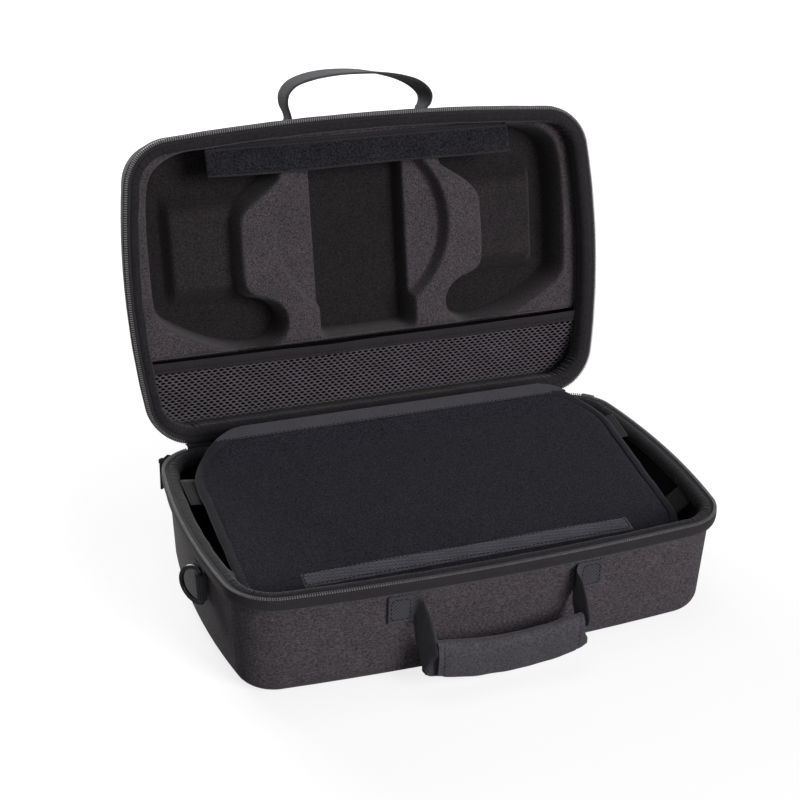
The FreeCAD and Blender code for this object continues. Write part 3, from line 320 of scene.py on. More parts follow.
def ribbon(heap, path, across, width, thickness):
    """Webbing along a path, its width in the direction across, with rounded edges"""
    path = np.asarray(path, float)
    travel = unit(np.gradient(path, axis=0))
    across = np.broadcast_to(np.asarray(across, float), path.shape)
    side = unit(across - travel * np.sum(across * travel, axis=1, keepdims=True))
    face = np.cross(travel, side)
    share = np.linspace(-1, 1, 9)
    edge = 1 - np.abs(share) ** 8 * 0.75
    loop_w = np.concatenate((share, share[::-1])) * width / 2
    loop_h = np.concatenate((edge, -edge[::-1])) * thickness / 2
    points = path[:, None] + side[:, None] * loop_w[None, :, None] + face[:, None] * loop_h[None, :, None]
    heap.tube(points, pairs(travelled(path), loop_w))


# The zip line and the two halves

Line = namedtuple("Line", "point inward along bend length")


def zip_line(count):
    """Points along the zip from the middle of the rear, with inward directions and corner weights"""
    front_mid = np.array((0.0, FRONT_BOW - FRONT))
    side_mid = np.array((HALF - SIDE_BOW, 0.0))
    near_side = SIDE_BOW - CORNER
    near_front = FRONT_BOW - CORNER
    rear_y = REAR - CORNER
    rear_corner = np.array((side_mid[0] + math.sqrt(near_side ** 2 - rear_y ** 2), rear_y))
    apart = np.linalg.norm(front_mid - side_mid)
    along = (apart ** 2 + near_side ** 2 - near_front ** 2) / (2 * apart)
    across = math.sqrt(near_side ** 2 - along ** 2)
    run = (front_mid - side_mid) / apart
    front_corner = side_mid + run * along + np.array((run[1], -run[0])) * across

    def heading(vector):
        return math.atan2(vector[1], vector[0])

    to_front = heading(front_corner - front_mid)
    to_side = heading(front_corner - side_mid)
    to_rear = heading(rear_corner - side_mid)
    quarter = math.pi / 2
    flip = np.array((-1, 1))
    arcs = (
        (flip * rear_corner, CORNER, quarter, math.pi - to_rear, 1.0),
        (flip * side_mid, SIDE_BOW, math.pi - to_rear, math.pi - to_side, 0.0),
        (flip * front_corner, CORNER, math.pi - to_side, math.pi - to_front, 1.0),
        (front_mid, FRONT_BOW, -math.pi - to_front, to_front, 0.0),
        (front_corner, CORNER, to_front, to_side, 1.0),
        (side_mid, SIDE_BOW, to_side, to_rear, 0.0),
        (rear_corner, CORNER, to_rear, quarter, 1.0),
    )
    steps = 200

    def rear_run(begin, finish, whole):
        return together(np.linspace(begin, finish, steps, endpoint=whole), REAR, 0.0, -1.0, 0.0)

    pieces = [rear_run(0, -rear_corner[0], False)]
    for mid, radius, begin, finish, corner in arcs:
        while finish < begin:
            finish += 2 * math.pi
        while finish - begin > math.pi:
            finish -= 2 * math.pi
        angle = np.linspace(begin, finish, steps, endpoint=False)
        out = together(np.cos(angle), np.sin(angle))
        pieces.append(np.concatenate((mid + out * radius, -out, np.full((steps, 1), corner)), axis=1))
    pieces.append(rear_run(rear_corner[0], 0, True))
    dense = np.concatenate(pieces)
    travel = travelled(dense[:, :2])
    want = np.linspace(0, travel[-1], count + 1)
    data = np.stack([np.interp(want, travel, dense[:, i]) for i in range(5)], -1)
    reach = 15
    window = np.ones(2 * reach + 1) / (2 * reach + 1)
    bend = np.convolve(np.pad(data[:, 4], reach, mode="wrap"), window, mode="valid")
    return Line(data[:, :2], unit(data[:, 2:4]), want, bend, travel[-1])


def inset_of(x, y):
    """Distance inside the zip line"""
    ax = np.abs(x)
    side = SIDE_BOW - np.hypot(ax + SIDE_BOW - HALF, y)
    front = FRONT_BOW - np.hypot(x, y - FRONT_BOW + FRONT)
    rear = REAR - y
    least = np.minimum(np.minimum(side, front), rear)
    corner_x = HALF - SIDE_BOW + math.sqrt((SIDE_BOW - CORNER) ** 2 - (REAR - CORNER) ** 2)
    for mid_y, ahead in ((REAR - CORNER, 1), (-FRONT + CORNER + FRONT_CORNER_BACK, -1)):
        beyond = (ax > corner_x) & ((y - mid_y) * ahead > 0)
        round_in = CORNER - np.hypot(ax - corner_x, y - mid_y)
        least = np.where(beyond, np.minimum(least, round_in), least)
    return least


def base_place(x, y, d):
    return together(x, y, ZIP_LEVEL - np.asarray(d, float))


def lid_place(x, y, d):
    v = REAR - np.asarray(y, float)
    d = np.asarray(d, float)
    turned_y = REAR - math.cos(OPEN) * v + math.sin(OPEN) * d
    return together(x, turned_y, ZIP_LEVEL + math.sin(OPEN) * v + math.cos(OPEN) * d)


HALVES = (("base", base_place), ("lid", lid_place))
LID_UP = np.array((0.0, -math.cos(OPEN), math.sin(OPEN)))
LID_IN = np.array((0.0, math.sin(OPEN), math.cos(OPEN)))


def lid_at(x, v, d):
    return lid_place(x, REAR - np.asarray(v, float), d)


def sweep(place, line, inset, depth):
    """A band along the zip line, from each point's inset and depth"""
    x = line.point[:, None, 0] + line.inward[:, None, 0] * inset
    y = line.point[:, None, 1] + line.inward[:, None, 1] * inset
    return place(x, y, depth)


# Finishes

def feed(tree, made, inputs):
    """Sets what goes into a node: numbers, colours or the outputs of other nodes"""
    for key, value in dict(inputs).items():
        if isinstance(value, bpy.types.NodeSocket):
            tree.links.new(value, made.inputs[key])
        else:
            made.inputs[key].default_value = value


def node(tree, kind, inputs=(), **settings):
    made = tree.nodes.new(kind)
    for key, value in settings.items():
        setattr(made, key, value)
    feed(tree, made, inputs)
    return made


def math_node(tree, operation, *terms):
    return node(tree, "ShaderNodeMath", enumerate(terms), operation=operation).outputs[0]


def noise(tree, vector, scale, detail=2.0, roughness=0.6):
    inputs = {"Vector": vector, "Scale": scale, "Detail": detail, "Roughness": roughness}
    return node(tree, "ShaderNodeTexNoise", inputs).outputs["Fac"]


def spread(tree, value, low, high, to_low, to_high):
    inputs = {"Value": value, "From Min": low, "From Max": high, "To Min": to_low, "To Max": to_high}
    return node(tree, "ShaderNodeMapRange", inputs).outputs["Result"]


def tinted(tree, base, factor):
    """The base colour times a factor that changes over the surface"""
    return node(tree, "ShaderNodeVectorMath", {0: base, "Scale": factor}, operation="SCALE").outputs[0]


def bumped(tree, height, strength, distance):
    inputs = {"Height": height, "Strength": strength, "Distance": distance}
    return node(tree, "ShaderNodeBump", inputs).outputs["Normal"]


def new_finish(name, roughness, sheen=0.0, specular=0.14):
    material = bpy.data.materials.new(name)
    material.use_nodes = True
    tree = material.node_tree
    shader = tree.nodes["Principled BSDF"]
    feed(tree, shader, {"Roughness": roughness, "Specular IOR Level": specular, "Sheen Weight": sheen,
                        "Sheen Roughness": 0.45})
    return material, tree, shader


def cloth_lines(tree, along, across, period):
    """Lines over the cloth coordinates: a wave of the two directions"""
    cloth = node(tree, "ShaderNodeUVMap", uv_map="cloth").outputs["UV"]
    split = node(tree, "ShaderNodeSeparateXYZ", {0: cloth})
    first = math_node(tree, "MULTIPLY", split.outputs["X"], along * 2 * math.pi / period)
    second = math_node(tree, "MULTIPLY_ADD", split.outputs["Y"], across * 2 * math.pi / period, first)
    return math_node(tree, "SINE", second)


def cloth_finish(name, tone, contrast, grain, blotch, sheen, bump=0.25, lines=(), line_depth=0.0,
                 hollow=False):
    """Woven or knitted cloth: fine grain, broad blotches and, if given, ribs along the cloth; if hollow,
    painted shade that darkens it where the recesses are deep
    """
    material, tree, shader = new_finish(name, 0.9, sheen)
    place = node(tree, "ShaderNodeTexCoord").outputs["Object"]
    fine = noise(tree, place, 1.0 / grain, 3.0, 0.7)
    broad = noise(tree, place, 38.0, 2.0)
    speck = spread(tree, fine, 0.37, 0.63, 1.0 - contrast, 1.0 + contrast)
    cloud = spread(tree, broad, 0.3, 0.7, 1.0 - blotch, 1.0 + blotch)
    factor = math_node(tree, "MULTIPLY", speck, cloud)
    height = fine
    if lines:
        waves = cloth_lines(tree, *lines[0])
        for line in lines[1:]:
            waves = math_node(tree, "MULTIPLY", waves, cloth_lines(tree, *line))
        tone_lines = spread(tree, waves, -1.0, 1.0, 1.0 - line_depth, 1.0 + line_depth)
        factor = math_node(tree, "MULTIPLY", factor, tone_lines)
        height = math_node(tree, "MULTIPLY_ADD", waves, 0.5, fine)
    # painted shade: where the tray's recesses are deep the cloth is darkened, down to 0.28 of its tone,
    # standing in for the shade there
    if hollow:
        depth = node(tree, "ShaderNodeAttribute", attribute_name="hollow").outputs["Fac"]
        factor = math_node(tree, "MULTIPLY", factor, spread(tree, depth, 0.1, 0.75, 1.0, 0.28))
    feed(tree, shader, {"Base Color": tinted(tree, tuple(tone), factor),
                        "Normal": bumped(tree, height, bump, 0.0006)})
    return material


def shell_finish(name, outer, inner, middle):
    """Heather cloth outside and plain dark lining inside, told apart by which way the wall faces"""
    material, tree, shader = new_finish(name, 0.92, 0.1)
    texture = node(tree, "ShaderNodeTexCoord")
    place = texture.outputs["Object"]
    squat = node(tree, "ShaderNodeMapping", {"Vector": place, "Scale": (1.0, 1.0, 1.7)}).outputs["Vector"]
    fine = noise(tree, place, 1000.0, 2.0, 0.7)
    fleck = noise(tree, squat, 430.0, 2.0, 0.7)
    broad = noise(tree, place, 45.0, 3.0)
    factor = math_node(tree, "MULTIPLY", spread(tree, fine, 0.35, 0.65, 0.55, 1.45),
                       spread(tree, fleck, 0.35, 0.65, 0.6, 1.4))
    factor = math_node(tree, "MULTIPLY", factor, spread(tree, broad, 0.3, 0.7, 0.94, 1.06))
    offset = node(tree, "ShaderNodeVectorMath", {0: place, 1: tuple(np.asarray(middle) * MM)},
                  operation="SUBTRACT").outputs[0]
    facing = node(tree, "ShaderNodeVectorMath", {0: texture.outputs["Normal"], 1: offset},
                  operation="DOT_PRODUCT").outputs["Value"]
    outside = spread(tree, facing, -0.002, 0.002, 0.0, 1.0)
    mix = node(tree, "ShaderNodeMix", {"Factor": outside, "A": (*inner, 1.0), "B": (*outer, 1.0)},
               data_type="RGBA").outputs["Result"]
    bump = bumped(tree, math_node(tree, "ADD", fine, fleck), 0.3, 0.0005)
    feed(tree, shader, {"Base Color": tinted(tree, mix, factor), "Normal": bump})
    return material


def smooth_finish(name, tone, roughness, metallic):
    """Painted metal or moulded plastic with faint wear in its gloss"""
    material, tree, shader = new_finish(name, roughness, 0.0, 0.5)
    wear = noise(tree, node(tree, "ShaderNodeTexCoord").outputs["Object"], 350.0, 3.0)
    gloss = spread(tree, wear, 0.3, 0.7, roughness * 0.75, roughness * 1.3)
    shade = tinted(tree, tuple(tone), spread(tree, wear, 0.3, 0.7, 0.85, 1.15))
    feed(tree, shader, {"Metallic": metallic, "Roughness": gloss, "Base Color": shade})
    return material


# Kinds of cloth; a line has its share along and across the cloth and its period in metres
CLOTHS = {
    "binding_cloth": dict(tone="binding", contrast=0.35, grain=0.0016, blotch=0.14, sheen=0.15),
    "tape_cloth": dict(tone="tape", contrast=0.15, grain=0.0010, blotch=0.08, sheen=0.15, bump=0.2,
                       lines=((1, 0, 0.0016),), line_depth=0.12),
    # the tray cloth carries painted shade in its deep recesses (hollow=True)
    "tray_cloth": dict(tone="tray", contrast=0.62, grain=0.0012, blotch=0.08, sheen=0.15, hollow=True),
    "net_cloth": dict(tone="net", contrast=0.2, grain=0.0009, blotch=0.1, sheen=0.15, bump=0.4),
    "rib_webbing": dict(tone="webbing", contrast=0.15, grain=0.0011, blotch=0.08, sheen=0.15, bump=0.5,
                        lines=((1, 0, 0.0022),), line_depth=0.28),
    "elastic": dict(tone="elastic", contrast=0.15, grain=0.0011, blotch=0.08, sheen=0.1, bump=0.5,
                    lines=((1, 0, 0.0024),), line_depth=0.3),
    "twill_webbing": dict(tone="webbing", contrast=0.15, grain=0.0011, blotch=0.08, sheen=0.15, bump=0.5,
                          lines=((0.75, 0.66, 0.0018),), line_depth=0.25),
    "hook_cloth": dict(tone="hooks", contrast=0.3, grain=0.0012, blotch=0.1, sheen=0.15, bump=0.6,
                       lines=((0.7, 0.7, 0.0034), (0.9, -0.4, 0.0052)), line_depth=0.35),
    "loop_cloth": dict(tone="loops", contrast=1.0, grain=0.0014, blotch=0.2, sheen=0.3, bump=1.0),
    "divider_cloth": dict(tone="divider", contrast=0.8, grain=0.0012, blotch=0.06, sheen=0.1),
    "edge_cloth": dict(tone="divider", contrast=0.2, grain=0.0011, blotch=0.1, sheen=0.2),
    "grip_cloth": dict(tone="grip", contrast=0.35, grain=0.0016, blotch=0.08, sheen=0.15),
    "thread": dict(tone="thread", contrast=0.2, grain=0.0008, blotch=0.05, sheen=0.1),
}
HARD = {
    "tooth_plastic": dict(tone="teeth", roughness=0.35, metallic=0.0),
    "black_metal": dict(tone="metal", roughness=0.14, metallic=0.9),
}


def finish_of(kind):
    """The finish of that kind, made once"""
    found = bpy.data.materials.get(kind)
    if found:
        return found
    make, recipe = (cloth_finish, CLOTHS[kind]) if kind in CLOTHS else (smooth_finish, HARD[kind])
    values = dict(recipe)
    tone = getattr(bpy.context.scene.case_colours, values.pop("tone"))
    return make(kind, tone, **values)


def sizes():
    return bpy.context.scene.case_sizes


# Pieces

class CASE_OT_shells(bpy.types.Operator):
    """Dress the two moulded shells in heather cloth with a dark lining"""

    bl_idname = "case.shells"
    bl_label = "Shells"

    def execute(self, context):
        tones = context.scene.case_colours
        middles = {"base_shell": (0, 0, 43.0), "lid_shell": lid_at(0.0, REAR, 26.0)}
        for name, middle in middles.items():
            shell = NODES[name]
            shell.data.materials.clear()
            shell.data.materials.append(shell_finish(f"{name}_cloth", tones.shell, tones.lining, middle))
        return {"FINISHED"}


class CASE_OT_rim_bindings(bpy.types.Operator):
    """Sew the gathered binding round both rims"""

    bl_idname = "case.rim_bindings"
    bl_label = "Rim bindings"

    DROP = {"base": 9.0, "lid": 15.6}
    TOP = 0.3
    WANDER = 0.25
    # share of the pucker on straight runs, and how much more of it at the corners
    STRAIGHT = 0.22
    ROUND = 0.8
    # row of the profile that is sewn, and the inset that its stitches face
    SEAM = 11
    INSIDE = 30.0
    # inset, depth, share of the drop, gather across, gather along the depth
    PROFILE = np.array((
        (5.9, 3.6, 0.0, 0.0, 0.0),
        (5.9, 2.2, 0.0, 0.1, 0.0),
        (6.5, 1.3, 0.0, 0.2, 0.2),
        (7.8, 0.8, 0.0, 0.2, 0.4),
        (9.5, 0.6, 0.0, 0.2, 0.5),
        (11.2, 0.9, 0.0, 0.3, 0.5),
        (12.7, 1.8, 0.0, 0.5, 0.5),
        (13.7, 1.2, 0.2, 0.7, 0.4),
        (14.3, 1.2, 0.35, 0.8, 0.2),
        (14.5, 1.2, 0.5, 0.9, 0.1),
        (14.4, 1.0, 0.62, 0.6, 0.1),
        (13.9, 0.8, 0.70, 0.2, 0.1),
        (14.4, 0.8, 0.77, 0.7, 0.1),
        (14.6, 0.8, 0.87, 1.1, 0.4),
        (14.3, 0.8, 0.97, 1.2, 0.8),
        (13.4, 0.8, 1.04, 1.0, 0.9),
        (12.2, 0.8, 1.02, 0.6, 0.7),
    ))

    def execute(self, context):
        line = zip_line(1500)
        share = line.along / line.length
        for seed, (half, place) in enumerate(HALVES):
            gather = ripple(share, 20 + seed, (173, 211, 259, 307))
            slow = ripple(share, 30 + seed, (23, 37, 53))
            pull = (self.STRAIGHT + self.ROUND * line.bend) * sizes().pucker / MM
            wave = (gather * pull)[:, None]
            plain_inset, level, dropped, sideways, lengthways = self.PROFILE.T
            plain = together(plain_inset, level + dropped * self.DROP[half])
            inset = plain[None, :, 0] + wave * sideways + slow[:, None] * self.WANDER
            depth = np.maximum(plain[None, :, 1] + wave * lengthways, self.TOP)
            points = sweep(place, line, inset, depth)
            heap = Heap().sheet(points, pairs(line.along, travelled(plain)))
            binding = add_piece(f"{half}_binding", heap, half, "binding_cloth",
                                [f"{half}_rim_binding"])
            row = points[:, self.SEAM]
            level = np.full((len(share), 1), plain[self.SEAM, 1])
            inward = sweep(place, line, np.full_like(level, self.INSIDE), level)[:, 0]
            add_stitches(f"{half}_binding_stitches", half, "binding_fabric", (row, unit(inward - row)))
        return {"FINISHED"}


class CASE_OT_zip(bpy.types.Operator):
    """Make the zip tapes and their rows of teeth"""

    bl_idname = "case.zip"
    bl_label = "Zip"

    PROFILE = np.array((
        (9.0, 3.0), (7.0, 2.4), (5.2, 1.8), (3.6, 1.5), (1.9, 1.6), (0.9, 2.0), (0.3, 2.8), (0.05, 4.2),
        (0.0, 6.0), (0.1, 8.0), (0.5, 9.8), (1.3, 11.4), (2.6, 12.5), (4.2, 12.9), (5.9, 12.6),
    ))
    END = 178.0
    # about the length of the zip line
    ROUND = 2 * (HALF + FRONT) * 1.85
    CLEAR = 0.22
    WANDER = 0.12

    def execute(self, context):
        line = zip_line(1200)
        share = line.along / line.length
        for seed, (half, place) in enumerate(HALVES):
            slow = ripple(share, 50 + seed, (17, 29, 41))[:, None] * self.WANDER
            inset = self.PROFILE[None, :, 0] + self.CLEAR + np.maximum(slow, -0.1)
            points = sweep(place, line, inset, np.broadcast_to(self.PROFILE[None, :, 1], inset.shape))
            heap = Heap().sheet(points, pairs(line.along, travelled(self.PROFILE)))
            add_piece(f"{half}_tape", heap, half, "tape_cloth", [f"{half}_zip_tape"])
            self.teeth(half, place)
        return {"FINISHED"}

    def teeth(self, half, place):
        pitch = sizes().tooth_pitch / MM
        row = zip_line(int(self.ROUND / pitch))
        # inset, depth and share of the pitch of a tooth's eight corners
        shape = np.array((
            (0.4, 1.5, -0.27), (3.3, 1.5, -0.24), (3.3, 1.5, 0.24), (0.4, 1.5, 0.27),
            (0.7, 0.35, -0.2), (2.9, 0.35, -0.15), (2.9, 0.35, 0.15), (0.7, 0.35, 0.2),
        ))
        faces = ((0, 1, 2, 3), (4, 7, 6, 5), (0, 4, 5, 1), (1, 5, 6, 2), (2, 6, 7, 3), (3, 7, 4, 0))
        heap = Heap()
        for point, inward in zip(row.point[:-1], row.inward[:-1]):
            if abs(point[0]) < self.END and point[1] > 0:
                continue
            along = np.array((inward[1], -inward[0]))
            spot = point + inward * shape[:, :1] + along * shape[:, 2:] * pitch
            heap.add(place(spot[:, 0], spot[:, 1], shape[:, 1]), faces)
        add_piece(f"{half}_teeth", heap, half, "tooth_plastic", [f"{half}_zip_teeth"],
                  smooth=False)


class CASE_OT_hinge(bpy.types.Operator):
    """Sew the cloth strip that joins both halves along the rear"""

    bl_idname = "case.hinge"
    bl_label = "Hinge strip"

    HALF_LENGTH = 176.0
    PROUD = 0.55
    # depths below each rim that the strip covers
    ON_BASE = (10.0, 1.8)
    ON_LID = (2.2, 10.5)
    STEPS = 40

    def execute(self, context):
        base_run = [(REAR + self.PROUD, ZIP_LEVEL - d) for d in np.linspace(*self.ON_BASE, 9)]
        lid_run = [tuple(lid_at(0.0, -self.PROUD, d)[1:]) for d in np.linspace(*self.ON_LID, 9)]
        path = curve_through(base_run + lid_run, self.STEPS)
        x = np.linspace(-self.HALF_LENGTH, self.HALF_LENGTH, 140)
        wave = swell(x[:, None], np.linspace(0, 20, self.STEPS)[None, :], 4, 30) * 0.12
        points = together(x[:, None], path[:, 0] + np.abs(wave), path[:, 1])
        heap = Heap().sheet(points, pairs(x, np.linspace(0, 18, self.STEPS)))
        strip = add_piece("hinge_cloth", heap, None, "tape_cloth", ["hinge_strip"])
        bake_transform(strip)
        return {"FINISHED"}


def polygon_distance(x, y, corners):
    """Signed distance to a polygon, negative inside"""
    corners = np.asarray(corners, float)
    least = np.full(x.shape, 1e9)
    inside = np.zeros(x.shape, bool)
    for a, b in zip(corners, np.roll(corners, -1, axis=0)):
        run = b - a
        t = np.clip(((x - a[0]) * run[0] + (y - a[1]) * run[1]) / (run @ run), 0, 1)
        least = np.minimum(least, np.hypot(x - a[0] - t * run[0], y - a[1] - t * run[1]))
        crosses = (a[1] > y) != (b[1] > y)
        with np.errstate(divide="ignore", invalid="ignore"):
            at = (b[0] - a[0]) * (y - a[1]) / (b[1] - a[1]) + a[0]
        inside ^= crosses & (x < at)
    return np.where(inside, -least, least)


def blur(values, step, width):
    """Softens a grid of values"""
    reach = int(2.5 * width / step)
    kernel = np.exp(-0.5 * (np.arange(-reach, reach + 1) * step / width) ** 2)
    kernel /= kernel.sum()
    for axis in (0, 1):
        padded = np.pad(values, [(reach, reach) if i == axis else (0, 0) for i in (0, 1)], mode="edge")
        values = np.apply_along_axis(lambda row: np.convolve(row, kernel, mode="valid"), axis, padded)
    return values


def rounded(corners, times=3):
    """A smooth closed outline made by cutting the corners again and again"""
    line = np.asarray(corners, float)
    for _ in range(times):
        after = np.roll(line, -1, axis=0)
        line = np.stack((0.75 * line + 0.25 * after, 0.25 * line + 0.75 * after), 1).reshape(-1, 2)
    return line


class CASE_OT_tray(bpy.types.Operator):
    """Mould the lid tray with its shaped, round and slotted recesses, and mark the depth of the shaped and
    slotted ones for painted shade
    """

    bl_idname = "case.tray"
    bl_label = "Lid tray"

    STEP = 1.0
    HALF_WIDTH = 203.75
    LOW_EDGE = (65.0, 77.0)
    PAD_LIP = (-1.2, 5.0)
    SLOT_LIP = (-1.4, 4.0)
    DISC_LIP = (-1.5, 3.2)
    # where the raised middle of a recess begins and ends, up from the hinge and outwards
    TABLE_BEGIN = (108.0, 128.0)
    TABLE_END = (186.0, 212.0)
    TABLE_SIDE = (164.0, 173.0)
    LOW = 64.0
    HIGH = 254.1
    DEEP = 34.0
    TABLE_RISE = 13.0
    DISC = 15.0
    DISC_AT = 165.0
    DISC_RADIUS = 78.0
    SLOT_AT = 156.0
    SLOT_HALF = (43.5, 83.0)
    SLOT_CORNER = 4.0
    SOFT = 0.8
    UNDER_BINDING = 12.6

    def execute(self, context):
        x, v = np.meshgrid(np.arange(-self.HALF_WIDTH, self.HALF_WIDTH, self.STEP),
                           np.arange(self.LOW, self.HIGH, self.STEP), indexing="ij")
        hollow = np.zeros_like(x)
        for side in (1, -1):
            edge = polygon_distance(x * side, v, rounded(PAD_RECESS))
            floor = self.DEEP - self.TABLE_RISE * self.table(x * side, v)
            hollow = np.maximum(hollow, floor * ease(-edge, *self.PAD_LIP))
        disc = np.hypot(x, v - self.DISC_AT) - self.DISC_RADIUS
        slot = np.maximum(np.abs(x) - self.SLOT_HALF[0], np.abs(v - self.SLOT_AT) - self.SLOT_HALF[1])
        slot = blur(slot, self.STEP, self.SLOT_CORNER)
        deep = np.maximum(hollow, self.DEEP * ease(-slot, *self.SLOT_LIP))
        hollow = np.maximum(deep, self.DISC * ease(-disc, *self.DISC_LIP))
        hollow = blur(hollow, self.STEP, self.SOFT)
        low_drop = self.DEEP * (1 - ease(v, *self.LOW_EDGE)) ** 2
        depth = TRAY_FACE + hollow + low_drop + swell(x, v, 8, 55.0) * 0.15
        points = lid_at(x, v, depth)
        keep = inset_of(x, REAR - v).ravel() > self.UNDER_BINDING
        faces = [f for f in grid_faces(*x.shape) if keep[f].all()]
        used = np.unique(np.array(faces))
        number = np.full(x.size, -1)
        number[used] = np.arange(len(used))
        heap = Heap().add(points.reshape(-1, 3)[used], number[np.array(faces)].tolist(),
                          together(x, v).reshape(-1, 2)[used])
        tray = add_piece("tray", heap, "lid", "tray_cloth", ["lid_tray"])
        # painted shade: depth share of the pad and slot recesses, not the round one, which the tray cloth turns
        # into darker colour
        shade = tray.data.attributes.new("hollow", "FLOAT", "POINT")
        shade.data.foreach_set("value", (deep.ravel()[used] / self.DEEP).astype(np.float32))
        return {"FINISHED"}

    def table(self, x, v):
        """Raised middle of a shaped recess, between the hollows for a gamepad's handles"""
        long = ease(v, *self.TABLE_BEGIN) * (1 - ease(v, *self.TABLE_END))
        return long * (1 - ease(x, *self.TABLE_SIDE))


class CASE_OT_net_pocket(bpy.types.Operator):
    """Knit the net pocket and sew its hem"""

    bl_idname = "case.net_pocket"
    bl_label = "Net pocket"

    TOP = 66.0
    LOW = 12.4
    FACE = 13.5
    SLOPE = math.tan(math.radians(20.0))
    SEAM = 11.0
    SAG = 2.0
    GATHER = 0.7
    # share of a cell's width and height, and lift, from the middle of the strands into the hole
    RINGS = ((1.0, 1.0, 0.55), (0.84, 0.83, 0.45), (0.73, 0.7, -0.1), (0.75, 0.73, -0.7))
    HEM_HALF = 199.0
    HEM_HELD = 195.8
    HEM_SAG = 1.4
    HEM_PROFILE = np.array((
        (61.7, 13.4), (61.9, 12.3), (63.5, 11.8), (65.1, 12.1), (66.9, 11.4), (69.1, 11.2), (70.5, 11.6),
        (71.1, 12.4), (70.7, 13.2), (66.5, 13.4),
    ))
    HEM_SEAM = 3

    def at(self, x, v, lift):
        """A place on the net, which sags a little into the lid and gathers on the slant"""
        share = (self.TOP - v) / (self.TOP - self.LOW)
        loose = np.sin(np.clip(share, 0, 1) * math.pi)
        sag = self.SAG * loose * (1 - (x / 200.0) ** 4)
        depth = self.FACE + (self.TOP - v) * self.SLOPE + sag - lift + swell(x, v, 12, 60) * 0.35
        depth = depth + self.GATHER * np.sin((x + 1.6 * v) / 7.5) * loose
        return lid_at(x, v, depth)

    def execute(self, context):
        pitch = sizes().net_pitch / MM
        row = sizes().net_row / MM
        side = row / 4
        corner = np.array(((0.5 * pitch, -side), (0.5 * pitch, side), (0, side + row / 2),
                           (-0.5 * pitch, side), (-0.5 * pitch, -side), (0, -side - row / 2)))
        between = (corner + np.roll(corner, -1, axis=0)) / 2
        outer = np.stack((corner, between), 1).reshape(-1, 2)
        heap = Heap()
        faces = grid_faces(len(self.RINGS), len(outer), close_columns=True)
        for j, v in enumerate(np.arange(self.LOW + 2, self.TOP, row)):
            run = np.arange(-39, 40) * pitch + (j % 2) * pitch / 2
            for x in run[inset_of(run, np.full_like(run, REAR - v)) > self.SEAM]:
                points = []
                cloth = []
                for wide, tall, lift in self.RINGS:
                    spot = outer * (wide, tall) + (x, v)
                    points.append(self.at(spot[:, 0], np.minimum(spot[:, 1], self.TOP), lift))
                    cloth.append(spot)
                heap.add(np.concatenate(points), faces, np.concatenate(cloth))
        net = add_piece("pocket_net", heap, "lid", "net_cloth", ["mesh_pocket"], facing=False)
        face_outwards(net.data, WELD)
        self.hem()
        return {"FINISHED"}

    def hem(self):
        x = np.linspace(-self.HEM_HALF, self.HEM_HALF, 264)
        sag = (self.HEM_SAG * (1 - (x / self.HEM_HELD) ** 2) + swell(x, x * 0, 3, 90) * 0.25)[:, None]
        v, d = self.HEM_PROFILE.T
        points = lid_at(x[:, None], v - sag, d - 0.6 * sag)
        heap = Heap().sheet(points, pairs(x, v), close_columns=True)
        add_piece("pocket_hem", heap, "lid", "tape_cloth", ["mesh_pocket_hem"])
        add_stitches("pocket_hem_stitches", "lid", "webbing", (points[:, self.HEM_SEAM], -LID_IN))


class CASE_OT_fastening_flap(bpy.types.Operator):
    """Hang the flap with its loop strip from the lid's front rim"""

    bl_idname = "case.fastening_flap"
    bl_label = "Fastening flap"

    HALF = 136.0
    HIGH = 247.5
    LOW = 221.0
    STRIP = (222.6, 243.0)
    SELVEDGES = (222.0, 242.9)
    SEAM = 244.8
    FACE = 16.2
    LEAN = 4.2
    WAVE = 1.2
    # lift of the upper and lower side
    CLOTH = (0.0, -0.9)
    PILE = (1.5, 0.05)
    ALONG = np.linspace(-HALF, HALF, 180)

    def at(self, x, v, lift):
        """A place on the flap, which leans into the case and waves along its free edge"""
        free = (self.HIGH - v) / (self.HIGH - self.LOW)
        lean = self.LEAN * free ** 1.3 + self.WAVE * free * swell(x, x * 0, 17, 150, 5)
        drop = self.WAVE * free * swell(x, x * 0, 23, 190, 4)
        return lid_at(x, v + drop, self.FACE - lean - lift)

    def layer(self, low, high, lifts):
        """A layer of cloth from one lift over the flap to another"""
        cloth = pairs(self.ALONG, np.linspace(low, high, 14))
        upper, lower = (self.at(cloth[..., 0], cloth[..., 1], lift) for lift in lifts)
        return Heap().slab(upper, lower, cloth)

    def selvedge(self, heap, v):
        """A round edge along the loop strip"""
        turn = np.linspace(0, 2 * math.pi, 6, endpoint=False)
        points = self.at(self.ALONG[:, None], v + 0.55 * np.cos(turn), 1.1 + 0.7 * np.sin(turn))
        heap.sheet(points, pairs(self.ALONG, turn), close_columns=True)

    def execute(self, context):
        flap = self.layer(self.LOW, self.HIGH, self.CLOTH)
        cloth = add_piece("flap_cloth", flap, "lid", "tape_cloth", ["loop_flap"])
        pile = self.layer(*self.STRIP, self.PILE)
        add_piece("loop_pile", pile, "lid", "loop_cloth", ["loop_strip"])
        edges = Heap()
        for v in self.SELVEDGES:
            self.selvedge(edges, v)
        add_piece("loop_selvedge", edges, "lid", "tape_cloth")
        row = self.at(self.ALONG, np.full_like(self.ALONG, self.SEAM), 0.0)
        add_stitches("flap_stitches", "lid", "binding_fabric", (row, -LID_IN))
        return {"FINISHED"}


